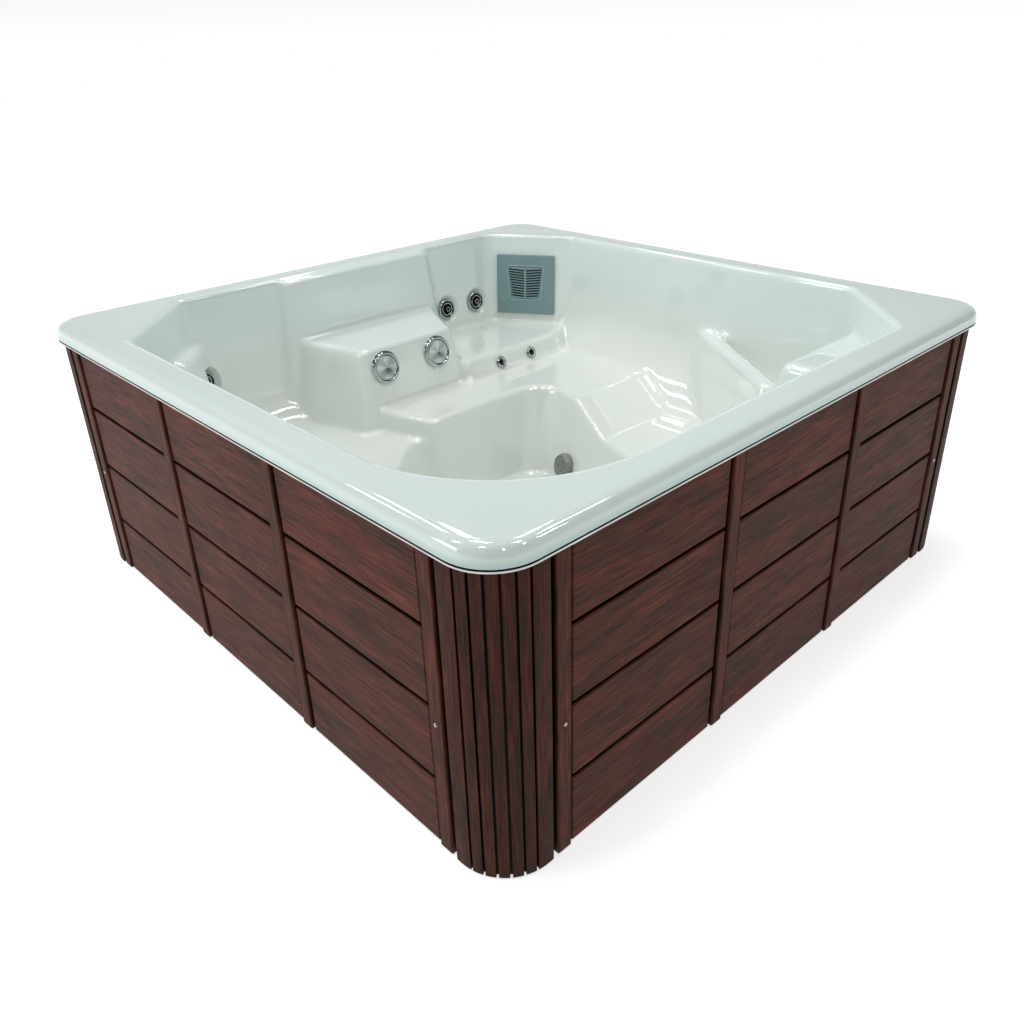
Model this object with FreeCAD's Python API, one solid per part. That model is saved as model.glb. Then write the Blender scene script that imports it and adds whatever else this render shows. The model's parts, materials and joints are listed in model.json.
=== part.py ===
import FreeCAD, Part
import math
import os
from collections import namedtuple

from FreeCAD import Vector

# Square hot tub: acrylic shell, timber frame, boarded cabinet, jets and water gear.
# Millimetres. The origin is at the middle of the base, +Z is up.

# Rim and shell
RIM_HALF = 1050.0
RIM_TOP = 835.0
RIM_BAND = 46.0
RIM_CORNER = 120.0
RIM_ROUND = 26.0
SHELL_WALL = 9.0
TRIM_T = 5.0
TRIM_W = 13.0

# Opening of the shell
DECK_WIDTH = 105.0
OPEN_CHAMFER = 300.0
FILTER_CHAMFER_X = 320.0
FILTER_CHAMFER_Y = 195.0
OPEN_NEAR_ROUND = 430.0
OPEN_CORNER_ROUND = 50.0
LIP = 11.0
WALL_DRAFT = 4.0
BASIN_ROUND = 55.0

# Levels inside the shell
FLOOR_Z = 72.0
SEAT_Z = 310.0
STEP_Z = 388.0
CORNER_SEAT_Z = 462.0
ARM_Z = 580.0
LEDGE_Z = 601.0
LEFT_ARM_Z = 678.0
SHELF_Z = 709.0

# Entry steps against the left wall
LEDGE_DEPTH = 321.0
STEP_DEPTH = 281.0
STEP_FALL_X = -120.0
STEP_FALL = 70.0
STEP_RUN_ON = 20.0
STEP_SIDE_DRAFT = 10.0
STEP_ROUND = 18.0
STAIR_START = -155.0
STAIR_END = 258.0
STAIR_FLARE_LEFT = 16.0
STAIR_FLARE_RIGHT = 25.0
RISER_DRAFT = 12.0
STAIR_LEFT_DRAFT = 14.0
STAIR_RIGHT_DRAFT = 10.0
STAIR_ROUND = 20.0
STAIR_CORNER = 25.0
PILLAR_DEPTH = 25.0
PILLAR_START = -270.0
PILLAR_END = 402.0
PILLAR_DROP = 12.0
PILLAR_SIDE_DRAFT = 6.0
PILLAR_ROUND = 16.0
PILLAR_CORNER = 22.0

# Corner seat beside the filter
CORNER_SEAT_DEPTH = 371.0
CORNER_SEAT_PAST_STAIR = 10.0
CORNER_SEAT_START_ROUND = 40.0
CORNER_SEAT_END = 760.0
CORNER_SEAT_TURN = 23.5
CORNER_SEAT_CORNER = 60.0
FOOT_RISER_DRAFT = 25.0
CORNER_SEAT_SIDE_DRAFT = 8.0
CORNER_SEAT_ROUND = 22.0

# Arm rests, shelf and the hollow roundings behind the seats
ARM_HALF_WIDTH = 30.0
ARM_AT = 81.0
ARM_FROM_WALL = 3.0
ARM_HEADING = -35.0
ARM_LENGTH = 623.0
ARM_BURIED = 160.0
ARM_DRAFT = 12.0
ARM_ROUND = 26.0
ARM_END = 27.0
LEFT_ARM_HALF_WIDTH = 25.0
LEFT_ARM_AT = -593.0
LEFT_ARM_IN_WALL = 25.0
LEFT_ARM_HEADING = -42.0
LEFT_ARM_LENGTH = 257.0
LEFT_ARM_BURIED = 90.0
LEFT_ARM_DRAFT = 8.0
LEFT_ARM_ROUND = 21.0
LEFT_ARM_END = 22.0
SHELF_DEPTH = 259.0
SHELF_START = 461.0
SHELF_DRAFT = 8.0
SHELF_ROUND = 26.0
SHELF_CORNER = 30.0
LOUNGE_COVE = 280.0
SEAT_COVE = 170.0
COVE_SINK = 0.5
MOUND_SINK = 80.0
MOUND_REACH = 60.0

# Footwell at step level, and the slopes of its sides
FOOTWELL_APEX_Y = 498.0
FOOTWELL_SEAT_BACK = 99.0
FOOTWELL_SEAT_ALONG = 62.0
FOOTWELL_NOSE = (-85.0, -548.0)
FOOTWELL_NEAR = (325.0, -548.0)
FOOTWELL_SIDE_X = 555.0
FOOTWELL_SIDE_LOW = -325.0
FOOTWELL_SIDE_HIGH = 219.0
FOOTWELL_STEP_LOW = -63.0
FOOTWELL_DRAFT = 12.0
FOOTWELL_NOSE_DRAFT = 16.0
FOOTWELL_FAR_DRAFT = 14.0
FOOTWELL_CORNER = 150.0
FOOTWELL_STEP_ROUND = 30.0
FOOTWELL_SEAT_ROUND = 45.0
FOOTWELL_APEX_ROUND = 110.0
FOOTWELL_ROUND = 24.0

# Cabinet
RIM_OVERHANG = 8.0
BATTEN_T = 22.0
BATTEN_W = 40.0
BOARD_T = 16.0
BOARD_ROW = 200.0
BOARD_GAP = 9.0
BOARD_GROOVE = 9.0
BOARD_BEVEL = 2.5
BATTEN_FROM_CORNER = 52.0
CABINET_FOOT = 3.0
TRIM_GAP = 1.0
CORNER_R = 135.0
CORNER_T = 18.0
CORNER_SLATS = 7
CORNER_OVERRUN = 15.0
SLAT_GROOVE_W = 6.0
SLAT_GROOVE_DEEP = 9.0
SCREW_Z = 362.0
SCREW_HEAD_R = 5.0
SCREW_HEAD_T = 2.5
SCREW_SHANK_R = 2.2
SCREW_LENGTH = 32.0

# Frame
PAN_T = 12.0
PAN_GAP = 1.0
POST_W = 90.0
POST_D = 45.0
SILL_H = 45.0
TOP_RAIL_W = 34.0
FRAME_GAP = 7.0
SEAT_GAP = 0.3
SUPPORT_SIZE = 120.0
SUPPORT_SPOTS = ((-170.0, 130.0), (330.0, -300.0), (330.0, 20.0), (10.0, -330.0))

# Jets: flange, barrel, bore, stub and face sizes
Jet = namedtuple("Jet", "flange_r flange_t barrel_r bore_r depth back_t stub_r stub_bore stub_length")
STEP_JET = Jet(59.0, 4.0, 46.0, 40.0, 60.0, 5.0, 16.0, 12.0, 18.0)
BACK_JET = Jet(38.0, 4.0, 31.0, 26.0, 46.0, 4.0, 12.5, 8.5, 20.0)
FOOT_JET = Jet(18.0, 3.0, 15.0, 12.0, 42.0, 4.0, 10.0, 7.0, 18.0)
SUCTION = Jet(40.0, 4.0, 32.0, 27.0, 45.0, 5.0, 25.0, 20.0, 17.0)
HOLE_GAP = 1.0
NUT_W = 13.0
NUT_T = 11.0
TURN_GAP = 0.3
STEP_RING_R = 60.5
STEP_RING_IN = 44.0
STEP_RING_TOP = 20.0
STEP_RING_BEVEL = 7.0
STEP_RING_EASE = 3.0
STEP_RING_EDGE = 1.0
STEP_DISC_R = 42.0
STEP_DISC_T = 5.5
STEP_WEB_T = 4.0
BACK_RING_R = 42.0
BACK_RING_TOP = 12.0
BACK_RING_BEVEL = 4.0
BACK_GROOVE_OUT = 9.0
BACK_GROOVE_IN = 5.0
BACK_GROOVE_DEEP = 3.0
BACK_MOUTH_R = 18.0
BALL_R = 22.0
BALL_Z = -2.0
BALL_GAP = 0.3
BALL_FRONT = 15.0
NOZZLE_R = 11.0
NOZZLE_BORE = 7.0
NOZZLE_TIP = 19.0
FOOT_FACE_R = 25.0
FOOT_FACE_TOP = 9.0
FOOT_FACE_BEVEL = 3.0
FOOT_MOUTH_FLARE = 4.0
FOOT_MOUTH_R = 6.0
HUB_LENGTH = 25.0
HUB_WALL = 4.7
BACK_HUB_LENGTH = 18.0
FOOT_HUB_LENGTH = 15.0
DISH_R = 58.0
DISH_FLOOR_R = 46.0
DISH_DEEP = 13.0
DISH_CLEAR = 60.0
BACK_STUB_Z = -33.0

# Jet places along the left wall: middle, spacing and height
STEP_JET_Y = 45.0
STEP_JET_SPACING = 242.0
STEP_JET_Z = 527.0
BACK_JET_Y = 575.0
BACK_JET_SPACING = 164.0
BACK_JET_Z = 562.0
FOOT_JET_Y = 535.5
FOOT_JET_SPACING = 169.0
FOOT_JET_Z = 422.0
SEAT_JET_Y = -622.0
SEAT_JET_Z = 538.0

# Suction cover in the footwell
SUCTION_ALONG = 670.0
SUCTION_DROP = 250.0
COVER_R = 49.0
COVER_T = 36.0
COVER_WALL = 4.0
COVER_SHOULDER = 7.0
COVER_DOME = 6.0
COVER_HOLE_R = 3.0
COVER_RING_PITCH = 11.0
COVER_RINGS = 3
COVER_RING_STEP = 6

# Filter plate and skimmer, in the far corner
PLATE_HALF_W = 127.0
PLATE_HALF_H = 126.0
PLATE_T = 8.0
PLATE_SKIRT = 4.0
PLATE_BEVEL = 2.0
PLATE_DROP = 209.0
PLATE_ACROSS = -14.0
PLATE_SCREW_UP = 108.0
LOUVRE_ROWS = 11
LOUVRE_PITCH = 11.0
LOUVRE_SLOT_H = 5.0
LOUVRE_TOP_W = 69.0
LOUVRE_LOW_W = 54.0
LOUVRE_RIB = 8.0
LOUVRE_RISE = 6.6
LOUVRE_TOP_UP = 62.0
SKIMMER_HALF_W = 100.5
SKIMMER_HALF_H = 99.0
SKIMMER_WALL = 3.0
SKIMMER_DEEP = 108.0
SKIMMER_DROP = 250.0
SKIMMER_FLANGE = 17.0
SKIMMER_FLANGE_T = 5.0
SKIMMER_GAP = 2.0
SKIMMER_OUTLET_R = 20.0
SKIMMER_OUTLET = 23.0
WEIR_AXIS_UP = -2.0
WEIR_AXIS_IN = -14.0
WEIR_H = 92.0
WEIR_T = 4.0
WEIR_SIDE_GAP = 3.5
WEIR_PIN_R = 3.0
WEIR_BARREL_R = 4.0
CARTRIDGE_R = 38.0
CARTRIDGE_PLEATS = 32
CARTRIDGE_PLEAT = 6.0
CARTRIDGE_CAP_T = 9.0
CARTRIDGE_LENGTH = 207.0
CARTRIDGE_IN = -63.0

# Pump
PUMP_X = -40.0
PUMP_Z = 150.0
WET_END_Y = 720.0
WET_END_L = 70.0
WET_END_R = 95.0
WET_BORE_R = 75.0
WET_WALL = 6.0
MOTOR_R = 70.0
MOTOR_L = 180.0
MOTOR_FIN = 6.0
MOTOR_FINS = 9
MOTOR_FIN_START = 24.0
MOTOR_FIN_END = 16.0
MOTOR_ADAPTOR_T = 12.0
MOTOR_FOOT_W = 130.0
MOTOR_FOOT_L = 90.0
MOTOR_FOOT_T = 10.0
ROTOR_R = 68.0
ROTOR_T = 24.0
ROTOR_VANES = 6
ROTOR_GAP = 6.0
ROTOR_DISC_T = 6.0
VANE_T = 5.0
VANE_END = 3.0
SHAFT_R = 12.0
SHAFT_GAP = 0.3
SHAFT_IN_MOTOR = 70.0
DISCHARGE_SIDE = 60.0
DISCHARGE_UP = 95.0

# Pipes and valves
PIPE_R = 25.0
PIPE_BORE = 21.0
PIPE_BEND = 36.0
SUCTION_BEND = 40.0
SUCTION_RUN = 55.0
SUCTION_LEAD = 75.0
BRANCH_Z = 84.0
BRANCH_LEAD = 40.0
BRANCH_SIDE = 200.0
BRANCH_BACK = 20.0
HOSE_BEND = 45.0
VALVE_HALF_W = 46.0
VALVE_T = 40.0
VALVE_LOW = 46.0
VALVE_HIGH = 60.0
GATE_HALF_W = 30.0
GATE_T = 6.0
GATE_GAP = 0.3
GATE_TRAVEL = 56.0
GATE_LENGTH = 112.0
GATE_HANDLE_W = 70.0
GATE_HANDLE_T = 16.0
GATE_HANDLE_H = 14.0
GATE_HANDLE_ROUND = 4.0
HEATER_R = 30.0
HEATER_L = 300.0
HEATER_NUT_R = 40.0
HEATER_NUT_L = 25.0
HEATER_AWAY = 90.0
MANIFOLD_X = -752.0
MANIFOLD_R = 31.5
MANIFOLD_BORE = 27.0
MANIFOLD_START = -110.0
MANIFOLD_END = 705.0
MANIFOLD_STUB = 45.0
SEAT_HOSE_Z = 233.0

# Control box, cable gland and drain
BOX_X = 300.0
BOX_W = 380.0
BOX_D = 130.0
BOX_H = 270.0
BOX_Z = 60.0
BOX_ROUND = 12.0
LID_STEP = 4.0
LID_INSET = 20.0
GLAND_X = 430.0
GLAND_Z = 93.0
GLAND_R = 10.0
GLAND_BORE = 5.2
GLAND_FLANGE_R = 15.0
GLAND_FLANGE_T = 9.0
DRAIN_X = 110.0
DRAIN_Y = -130.0
DRAIN_Z = 38.0
DRAIN_PIPE_R = 18.0
DRAIN_PIPE_BORE = 14.0
DRAIN_BARREL_R = 23.0
DRAIN_FLANGE_R = 36.0
DRAIN_FLANGE_T = 3.0
DRAIN_PLATE_R = 25.0
DRAIN_PLATE_T = 6.0
DRAIN_HOLES = 6
DRAIN_HOLE_AT = 9.0
DRAIN_HOLE_R = 3.0
DRAIN_HOLE_DEEP = 2.0
DRAIN_CLEAR = 2.0
SPIGOT_R = 13.2
SPIGOT_BORE = 9.0
SPIGOT_L = 22.0
CAP_R = 19.0
CAP_GAP = 0.3
CAP_T = 5.0
CAP_BEVEL = 2.0
BOARD_HOLE_GAP = 5.0

# Derived places
OPEN_HALF = RIM_HALF - DECK_WIDTH
FACE_HALF = RIM_HALF - RIM_OVERHANG
POST_FACE = FACE_HALF - BATTEN_T
BOARD_FACE = POST_FACE + BOARD_T
SKIRT_LOW = RIM_TOP - RIM_BAND
DECK_UNDER = RIM_TOP - SHELL_WALL
CABINET_TOP = SKIRT_LOW - TRIM_T - TRIM_GAP
CORNER_C = FACE_HALF - CORNER_R
BAY_PITCH = (CORNER_C - BATTEN_FROM_CORNER) / 1.5
ARM_START = (ARM_AT, OPEN_HALF - ARM_FROM_WALL)
LEFT_ARM_START = (-OPEN_HALF - LEFT_ARM_IN_WALL, LEFT_ARM_AT)
PLATE_Z = RIM_TOP - PLATE_DROP
SILL_TOP = PAN_T + SILL_H
LEDGE_X = LEDGE_DEPTH - OPEN_HALF
STEP_X = LEDGE_X + STEP_DEPTH
CORNER_SEAT_X = CORNER_SEAT_DEPTH - OPEN_HALF
MOUND_FOOT = SEAT_Z - MOUND_SINK
OUTSIDE = RIM_HALF + MOUND_REACH
UP = Vector(0, 0, 1)

OPENING = (
    (OPEN_HALF, -OPEN_HALF),
    (OPEN_HALF, OPEN_HALF - OPEN_CHAMFER),
    (OPEN_HALF - OPEN_CHAMFER, OPEN_HALF),
    (FILTER_CHAMFER_X - OPEN_HALF, OPEN_HALF),
    (-OPEN_HALF, OPEN_HALF - FILTER_CHAMFER_Y),
    (-OPEN_HALF, OPEN_CHAMFER - OPEN_HALF),
    (OPEN_CHAMFER - OPEN_HALF, -OPEN_HALF),
)
FOOTWELL = (
    (STEP_X, FOOTWELL_STEP_LOW),
    (STEP_X - FOOTWELL_SEAT_BACK, FOOTWELL_STEP_LOW - FOOTWELL_SEAT_ALONG),
    FOOTWELL_NOSE,
    FOOTWELL_NEAR,
    (FOOTWELL_SIDE_X, FOOTWELL_SIDE_LOW),
    (FOOTWELL_SIDE_X, FOOTWELL_SIDE_HIGH),
    (STEP_X, FOOTWELL_APEX_Y),
)


# Small geometry helpers

def tan_deg(angle):
    return math.tan(math.radians(angle))


def cos_deg(angle):
    return math.cos(math.radians(angle))


def sin_deg(angle):
    return math.sin(math.radians(angle))


def box(x0, x1, y0, y1, z0, z1):
    return Part.makeBox(x1 - x0, y1 - y0, z1 - z0, Vector(x0, y0, z0))


def rod(start, end, radius):
    """Straight round bar between two points."""
    along = end - start
    return Part.makeCylinder(radius, along.Length, start, along)


def turned(profile):
    """Solid turned about the z axis from (radius, height) corners."""
    corners = [Vector(radius, 0, height) for radius, height in profile]
    face = Part.Face(Part.makePolygon(corners + corners[:1]))
    return face.revolve(Vector(0, 0, 0), UP, 360)


def axes_at(origin, normal):
    """Placement with local z along the normal, local x level and local y upwards."""
    across = UP.cross(normal).normalize()
    rise = normal.cross(across)
    return FreeCAD.Placement(FreeCAD.Matrix(
        across.x, rise.x, normal.x, origin.x,
        across.y, rise.y, normal.y, origin.y,
        across.z, rise.z, normal.z, origin.z,
        0, 0, 0, 1))


def placed(shape, placement):
    moved = shape.copy()
    moved.Placement = placement.multiply(moved.Placement)
    return moved


def turned_about_z(shape, angle):
    moved = shape.copy()
    moved.rotate(Vector(0, 0, 0), UP, angle)
    return moved


def moved_sides(outline, shifts):
    """Corners of a counter-clockwise outline whose sides are moved outwards."""
    lines = []
    for i, (ax, ay) in enumerate(outline):
        bx, by = outline[(i + 1) % len(outline)]
        length = math.hypot(bx - ax, by - ay)
        nx = (by - ay) / length
        ny = (ax - bx) / length
        lines.append((nx, ny, nx * ax + ny * ay + shifts[i]))
    corners = []
    for i, (mx, my, e) in enumerate(lines):
        nx, ny, d = lines[i - 1]
        det = nx * my - ny * mx
        corners.append(((d * my - e * ny) / det, (nx * e - mx * d) / det))
    return corners


def block_between(low, high):
    """Solid between two flat outlines with as many corners."""
    under = low[::-1]
    faces = [Part.Face(Part.makePolygon(under + under[:1])), Part.Face(Part.makePolygon(high + high[:1]))]
    for i in range(len(low)):
        j = (i + 1) % len(low)
        faces.append(Part.Face(Part.makePolygon([low[i], low[j], high[j], high[i], low[i]])))
    skin = Part.makeShell(faces)
    skin.sewShape()
    return Part.makeSolid(skin)


def edge_between(solid, start, end):
    for edge in solid.Edges:
        ends = [vertex.Point for vertex in edge.Vertexes]
        if len(ends) == 2:
            same = ends[0].distanceToPoint(start) + ends[1].distanceToPoint(end)
            swapped = ends[1].distanceToPoint(start) + ends[0].distanceToPoint(end)
            if min(same, swapped) < 0.01:
                return edge
    return None


def level_edges(solid, level):
    edges = []
    for edge in solid.Edges:
        if all(abs(vertex.Z - level) < 0.01 for vertex in edge.Vertexes):
            edges.append(edge)
    return edges


def drafted(outline, z_ref, z_low, z_high, drafts, grow, rounds):
    """Block with sloping sides that pass through the outline at z_ref, with rounded corners."""
    def corners_at(z):
        shifts = [grow / cos_deg(a) - (z_ref - z) * tan_deg(a) for a in drafts]
        return [Vector(x, y, z) for x, y in moved_sides(outline, shifts)]
    low = corners_at(z_low)
    high = corners_at(z_high)
    solid = block_between(low, high)
    for corner, radius in rounds.items():
        solid = solid.makeFillet(radius, [edge_between(solid, low[corner], high[corner])])
    return solid


# Shell: hollows go down from the deck, mounds stand up inside them.
# Each is made at the wet face with grow 0, or one wall further out.

def basin(grow, z_high):
    rounds = {i: OPEN_CORNER_ROUND + grow for i in range(1, len(OPENING))}
    rounds[0] = OPEN_NEAR_ROUND + grow
    low = SEAT_Z - grow
    solid = drafted(OPENING, RIM_TOP, low, z_high, [WALL_DRAFT] * len(OPENING), grow, rounds)
    return solid.makeFillet(BASIN_ROUND + grow, level_edges(solid, low))


def footwell(grow):
    drafts = [FOOTWELL_DRAFT] * len(FOOTWELL)
    drafts[1] = FOOTWELL_NOSE_DRAFT
    drafts[5] = FOOTWELL_FAR_DRAFT
    rounds = {i: FOOTWELL_CORNER + grow for i in range(2, 6)}
    rounds[0] = FOOTWELL_STEP_ROUND - grow
    rounds[1] = FOOTWELL_SEAT_ROUND + grow
    rounds[6] = FOOTWELL_APEX_ROUND + grow
    low = FLOOR_Z - grow
    solid = drafted(FOOTWELL, STEP_Z, low, STEP_Z + BASIN_ROUND, drafts, grow, rounds)
    return solid.makeFillet(FOOTWELL_ROUND + grow, level_edges(solid, low))


def mound(outline, top, slopes, grow, top_round, rounds):
    """Raised block whose sides spread downwards; grow is zero or less."""
    high = top + grow
    eased = {corner: radius + grow for corner, radius in rounds.items()}
    solid = drafted(outline, top, MOUND_FOOT, high, [-a for a in slopes], grow, eased)
    return solid.makeFillet(top_round + grow, level_edges(solid, high))


def bar_outline(start, heading, buried, length, half_width):
    """Outline of a straight bar that starts inside the wall."""
    along = (cos_deg(heading), sin_deg(heading))
    across = (-along[1], along[0])
    corners = []
    for run, side in ((-buried, -1), (length, -1), (length, 1), (-buried, 1)):
        x = start[0] + along[0] * run + across[0] * side * half_width
        y = start[1] + along[1] * run + across[1] * side * half_width
        corners.append((x, y))
    return corners


def stair_block(grow):
    run = OUTSIDE + LEDGE_X
    outline = ((-OUTSIDE, STAIR_START - run * tan_deg(STAIR_FLARE_LEFT)), (LEDGE_X, STAIR_START),
               (LEDGE_X, STAIR_END), (-OUTSIDE, STAIR_END + run * tan_deg(STAIR_FLARE_RIGHT)))
    return mound(outline, LEDGE_Z, (STAIR_LEFT_DRAFT, RISER_DRAFT, STAIR_RIGHT_DRAFT, 0.0), grow, STAIR_ROUND,
                 {1: STAIR_CORNER, 2: STAIR_CORNER})


def stair_pillar(grow):
    face = PILLAR_DEPTH - OPEN_HALF
    outline = ((-OUTSIDE, PILLAR_START), (face, PILLAR_START), (face, PILLAR_END), (-OUTSIDE, PILLAR_END))
    slopes = (PILLAR_SIDE_DRAFT, WALL_DRAFT, PILLAR_SIDE_DRAFT, 0.0)
    corners = {1: PILLAR_CORNER, 2: PILLAR_CORNER}
    return mound(outline, RIM_TOP - PILLAR_DROP, slopes, grow, PILLAR_ROUND, corners)


def platform(grow):
    """Lower step, running on behind the footwell and falling away to the right."""
    outline = ((-OUTSIDE, STAIR_START), (LEDGE_X, STAIR_START), (STEP_X + STEP_RUN_ON, FOOTWELL_STEP_LOW),
               (STEP_FALL_X, FOOTWELL_STEP_LOW), (STEP_FALL_X, OUTSIDE), (-OUTSIDE, OUTSIDE))
    slopes = (STEP_SIDE_DRAFT, STEP_SIDE_DRAFT, STEP_SIDE_DRAFT, STEP_FALL, 0.0, 0.0)
    return mound(outline, STEP_Z, slopes, grow, STEP_ROUND, {})


def corner_seat(grow):
    start = STAIR_END + CORNER_SEAT_PAST_STAIR
    end_x = CORNER_SEAT_X - (OUTSIDE - CORNER_SEAT_END) * tan_deg(CORNER_SEAT_TURN)
    outline = ((-OUTSIDE, start), (CORNER_SEAT_X, start), (CORNER_SEAT_X, CORNER_SEAT_END), (end_x, OUTSIDE),
               (-OUTSIDE, OUTSIDE))
    slopes = (CORNER_SEAT_SIDE_DRAFT, FOOT_RISER_DRAFT, FOOT_RISER_DRAFT, 0.0, 0.0)
    corners = {1: CORNER_SEAT_START_ROUND, 2: CORNER_SEAT_CORNER}
    return mound(outline, CORNER_SEAT_Z, slopes, grow, CORNER_SEAT_ROUND, corners)


def right_arm(grow):
    outline = bar_outline(ARM_START, ARM_HEADING, ARM_BURIED, ARM_LENGTH, ARM_HALF_WIDTH)
    return mound(outline, ARM_Z, (ARM_DRAFT,) * 4, grow, ARM_ROUND, {1: ARM_END, 2: ARM_END})


def left_arm(grow):
    outline = bar_outline(LEFT_ARM_START, LEFT_ARM_HEADING, LEFT_ARM_BURIED, LEFT_ARM_LENGTH,
                          LEFT_ARM_HALF_WIDTH)
    return mound(outline, LEFT_ARM_Z, (LEFT_ARM_DRAFT,) * 4, grow, LEFT_ARM_ROUND,
                 {1: LEFT_ARM_END, 2: LEFT_ARM_END})


def shelf(grow):
    face = OPEN_HALF - SHELF_DEPTH
    outline = ((face, SHELF_START), (OUTSIDE, SHELF_START), (OUTSIDE, OUTSIDE), (face, OUTSIDE))
    return mound(outline, SHELF_Z, (SHELF_DRAFT, 0.0, 0.0, SHELF_DRAFT), grow, SHELF_ROUND, {0: SHELF_CORNER})


def cove(radius, level, grow, start, end, angle):
    """Hollow quarter round along a wall that faces -Y before it is turned by the angle."""
    wall = OPEN_HALF - (RIM_TOP - level - radius) * tan_deg(WALL_DRAFT)
    axis_y = wall - radius + COVE_SINK
    axis_z = level + radius - COVE_SINK
    fill = box(start, end, axis_y, OUTSIDE, MOUND_FOOT, axis_z)
    tunnel = rod(Vector(start - 1, axis_y, axis_z), Vector(end + 1, axis_y, axis_z), radius - grow)
    return turned_about_z(fill.cut(tunnel), angle)


def coves(grow):
    seats = [cove(SEAT_COVE, SEAT_Z, grow, -OUTSIDE, OUTSIDE, angle) for angle in (90, 180, 270)]
    return [cove(LOUNGE_COVE, SEAT_Z, grow, -OUTSIDE, OUTSIDE, 0)] + seats


def dish(grow):
    """Shallow round recess for a jet; its floor is at local height zero."""
    return turned(((0, -grow), (DISH_FLOOR_R + grow, -grow), (DISH_R + grow, DISH_DEEP),
                   (DISH_R, DISH_CLEAR), (0, DISH_CLEAR)))


def cavity(grow, z_high):
    """Everything that is wet or open above the shell, grown by one wall for its back."""
    hollow = basin(grow, z_high)
    mounds = [stair_block(-grow), stair_pillar(-grow), platform(-grow), corner_seat(-grow),
              right_arm(-grow), left_arm(-grow), shelf(-grow)]
    hollow = hollow.cut(mounds + coves(-grow))
    dishes = [placed(dish(grow), place) for place in back_jet_places()]
    return hollow.fuse([footwell(grow)] + dishes)


def rounded_square(half, corner, z_low, z_high):
    solid = box(-half, half, -half, half, z_low, z_high)
    upright = [edge for edge in solid.Edges if abs(edge.tangentAt(edge.FirstParameter).z) > 0.9]
    return solid.makeFillet(corner, upright)


def acrylic_shell():
    skirt = rounded_square(RIM_HALF, RIM_CORNER, SKIRT_LOW, RIM_TOP)
    skirt = skirt.makeFillet(RIM_ROUND, level_edges(skirt, RIM_TOP))
    inner = rounded_square(RIM_HALF - SHELL_WALL, RIM_CORNER - SHELL_WALL, SKIRT_LOW - 1, DECK_UNDER)
    inner = inner.makeFillet(RIM_ROUND - SHELL_WALL, level_edges(inner, DECK_UNDER))
    solid = skirt.cut(inner).fuse(cavity(SHELL_WALL, RIM_TOP - SHELL_WALL / 2))
    solid = solid.cut(cavity(0.0, RIM_TOP + LIP)).removeSplitter()
    lip = [edge for edge in level_edges(solid, RIM_TOP) if edge.BoundBox.XMax < OPEN_HALF + 1
           and edge.BoundBox.XMin > -OPEN_HALF - 1 and edge.BoundBox.YMax < OPEN_HALF + 1
           and edge.BoundBox.YMin > -OPEN_HALF - 1]
    return solid.makeFillet(LIP, lip).cut(shell_holes())


def shell_holes():
    holes = []
    for jet, places in ((STEP_JET, step_jet_places()), (BACK_JET, back_jet_places()),
                        (FOOT_JET, foot_jet_places()), (SUCTION, [suction_place()])):
        for place in places:
            bore = Part.makeCylinder(jet.barrel_r + HOLE_GAP, 4 * SHELL_WALL, Vector(0, 0, -2 * SHELL_WALL))
            holes.append(placed(bore, place))
    half_w = SKIMMER_HALF_W + SKIMMER_GAP
    half_h = SKIMMER_HALF_H + SKIMMER_GAP
    window = box(-half_w, half_w, -half_h, half_h, -2 * SHELL_WALL, 2 * SHELL_WALL)
    holes.append(placed(window, skimmer_place()))
    floor = Vector(DRAIN_X, DRAIN_Y, FLOOR_Z)
    holes.append(rod(floor - UP * 2 * SHELL_WALL, floor + UP, DRAIN_BARREL_R + HOLE_GAP))
    return holes


# Places of the fittings on the sloping walls

def left_wall_place(face_x, z_ref, draft, y, z, sink=0.0):
    normal = Vector(cos_deg(draft), 0, sin_deg(draft))
    point = Vector(face_x + (z_ref - z) * tan_deg(draft), y, z)
    return axes_at(point - normal * sink, normal)


def pair(middle, spacing):
    return (middle - spacing / 2, middle + spacing / 2)


def step_jet_places():
    return [left_wall_place(LEDGE_X, LEDGE_Z, RISER_DRAFT, y, STEP_JET_Z)
            for y in pair(STEP_JET_Y, STEP_JET_SPACING)]


def back_jet_places():
    spots = [(y, BACK_JET_Z) for y in pair(BACK_JET_Y, BACK_JET_SPACING)] + [(SEAT_JET_Y, SEAT_JET_Z)]
    return [left_wall_place(-OPEN_HALF, RIM_TOP, WALL_DRAFT, y, z, DISH_DEEP) for y, z in spots]


def foot_jet_places():
    return [left_wall_place(CORNER_SEAT_X, CORNER_SEAT_Z, FOOT_RISER_DRAFT, y, FOOT_JET_Z)
            for y in pair(FOOT_JET_Y, FOOT_JET_SPACING)]


def suction_place():
    near = Vector(FOOTWELL_SIDE_X, FOOTWELL_SIDE_HIGH, STEP_Z)
    along = (Vector(STEP_X, FOOTWELL_APEX_Y, STEP_Z) - near).normalize()
    inwards = Vector(-along.y, along.x, 0)
    normal = inwards * cos_deg(FOOTWELL_FAR_DRAFT) + UP * sin_deg(FOOTWELL_FAR_DRAFT)
    drop = inwards * (SUCTION_DROP * tan_deg(FOOTWELL_FAR_DRAFT)) - UP * SUCTION_DROP
    return axes_at(near + along * SUCTION_ALONG + drop, normal)


def skimmer_place():
    inwards = Vector(FILTER_CHAMFER_Y, -FILTER_CHAMFER_X, 0).normalize()
    normal = inwards * cos_deg(WALL_DRAFT) + UP * sin_deg(WALL_DRAFT)
    middle = Vector(FILTER_CHAMFER_X / 2 - OPEN_HALF, OPEN_HALF - FILTER_CHAMFER_Y / 2, PLATE_Z)
    sunk = inwards * ((RIM_TOP - PLATE_Z) * tan_deg(WALL_DRAFT))
    return axes_at(middle + sunk + UP.cross(inwards) * PLATE_ACROSS, normal)


# Jets, in the local axes of their wall

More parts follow.
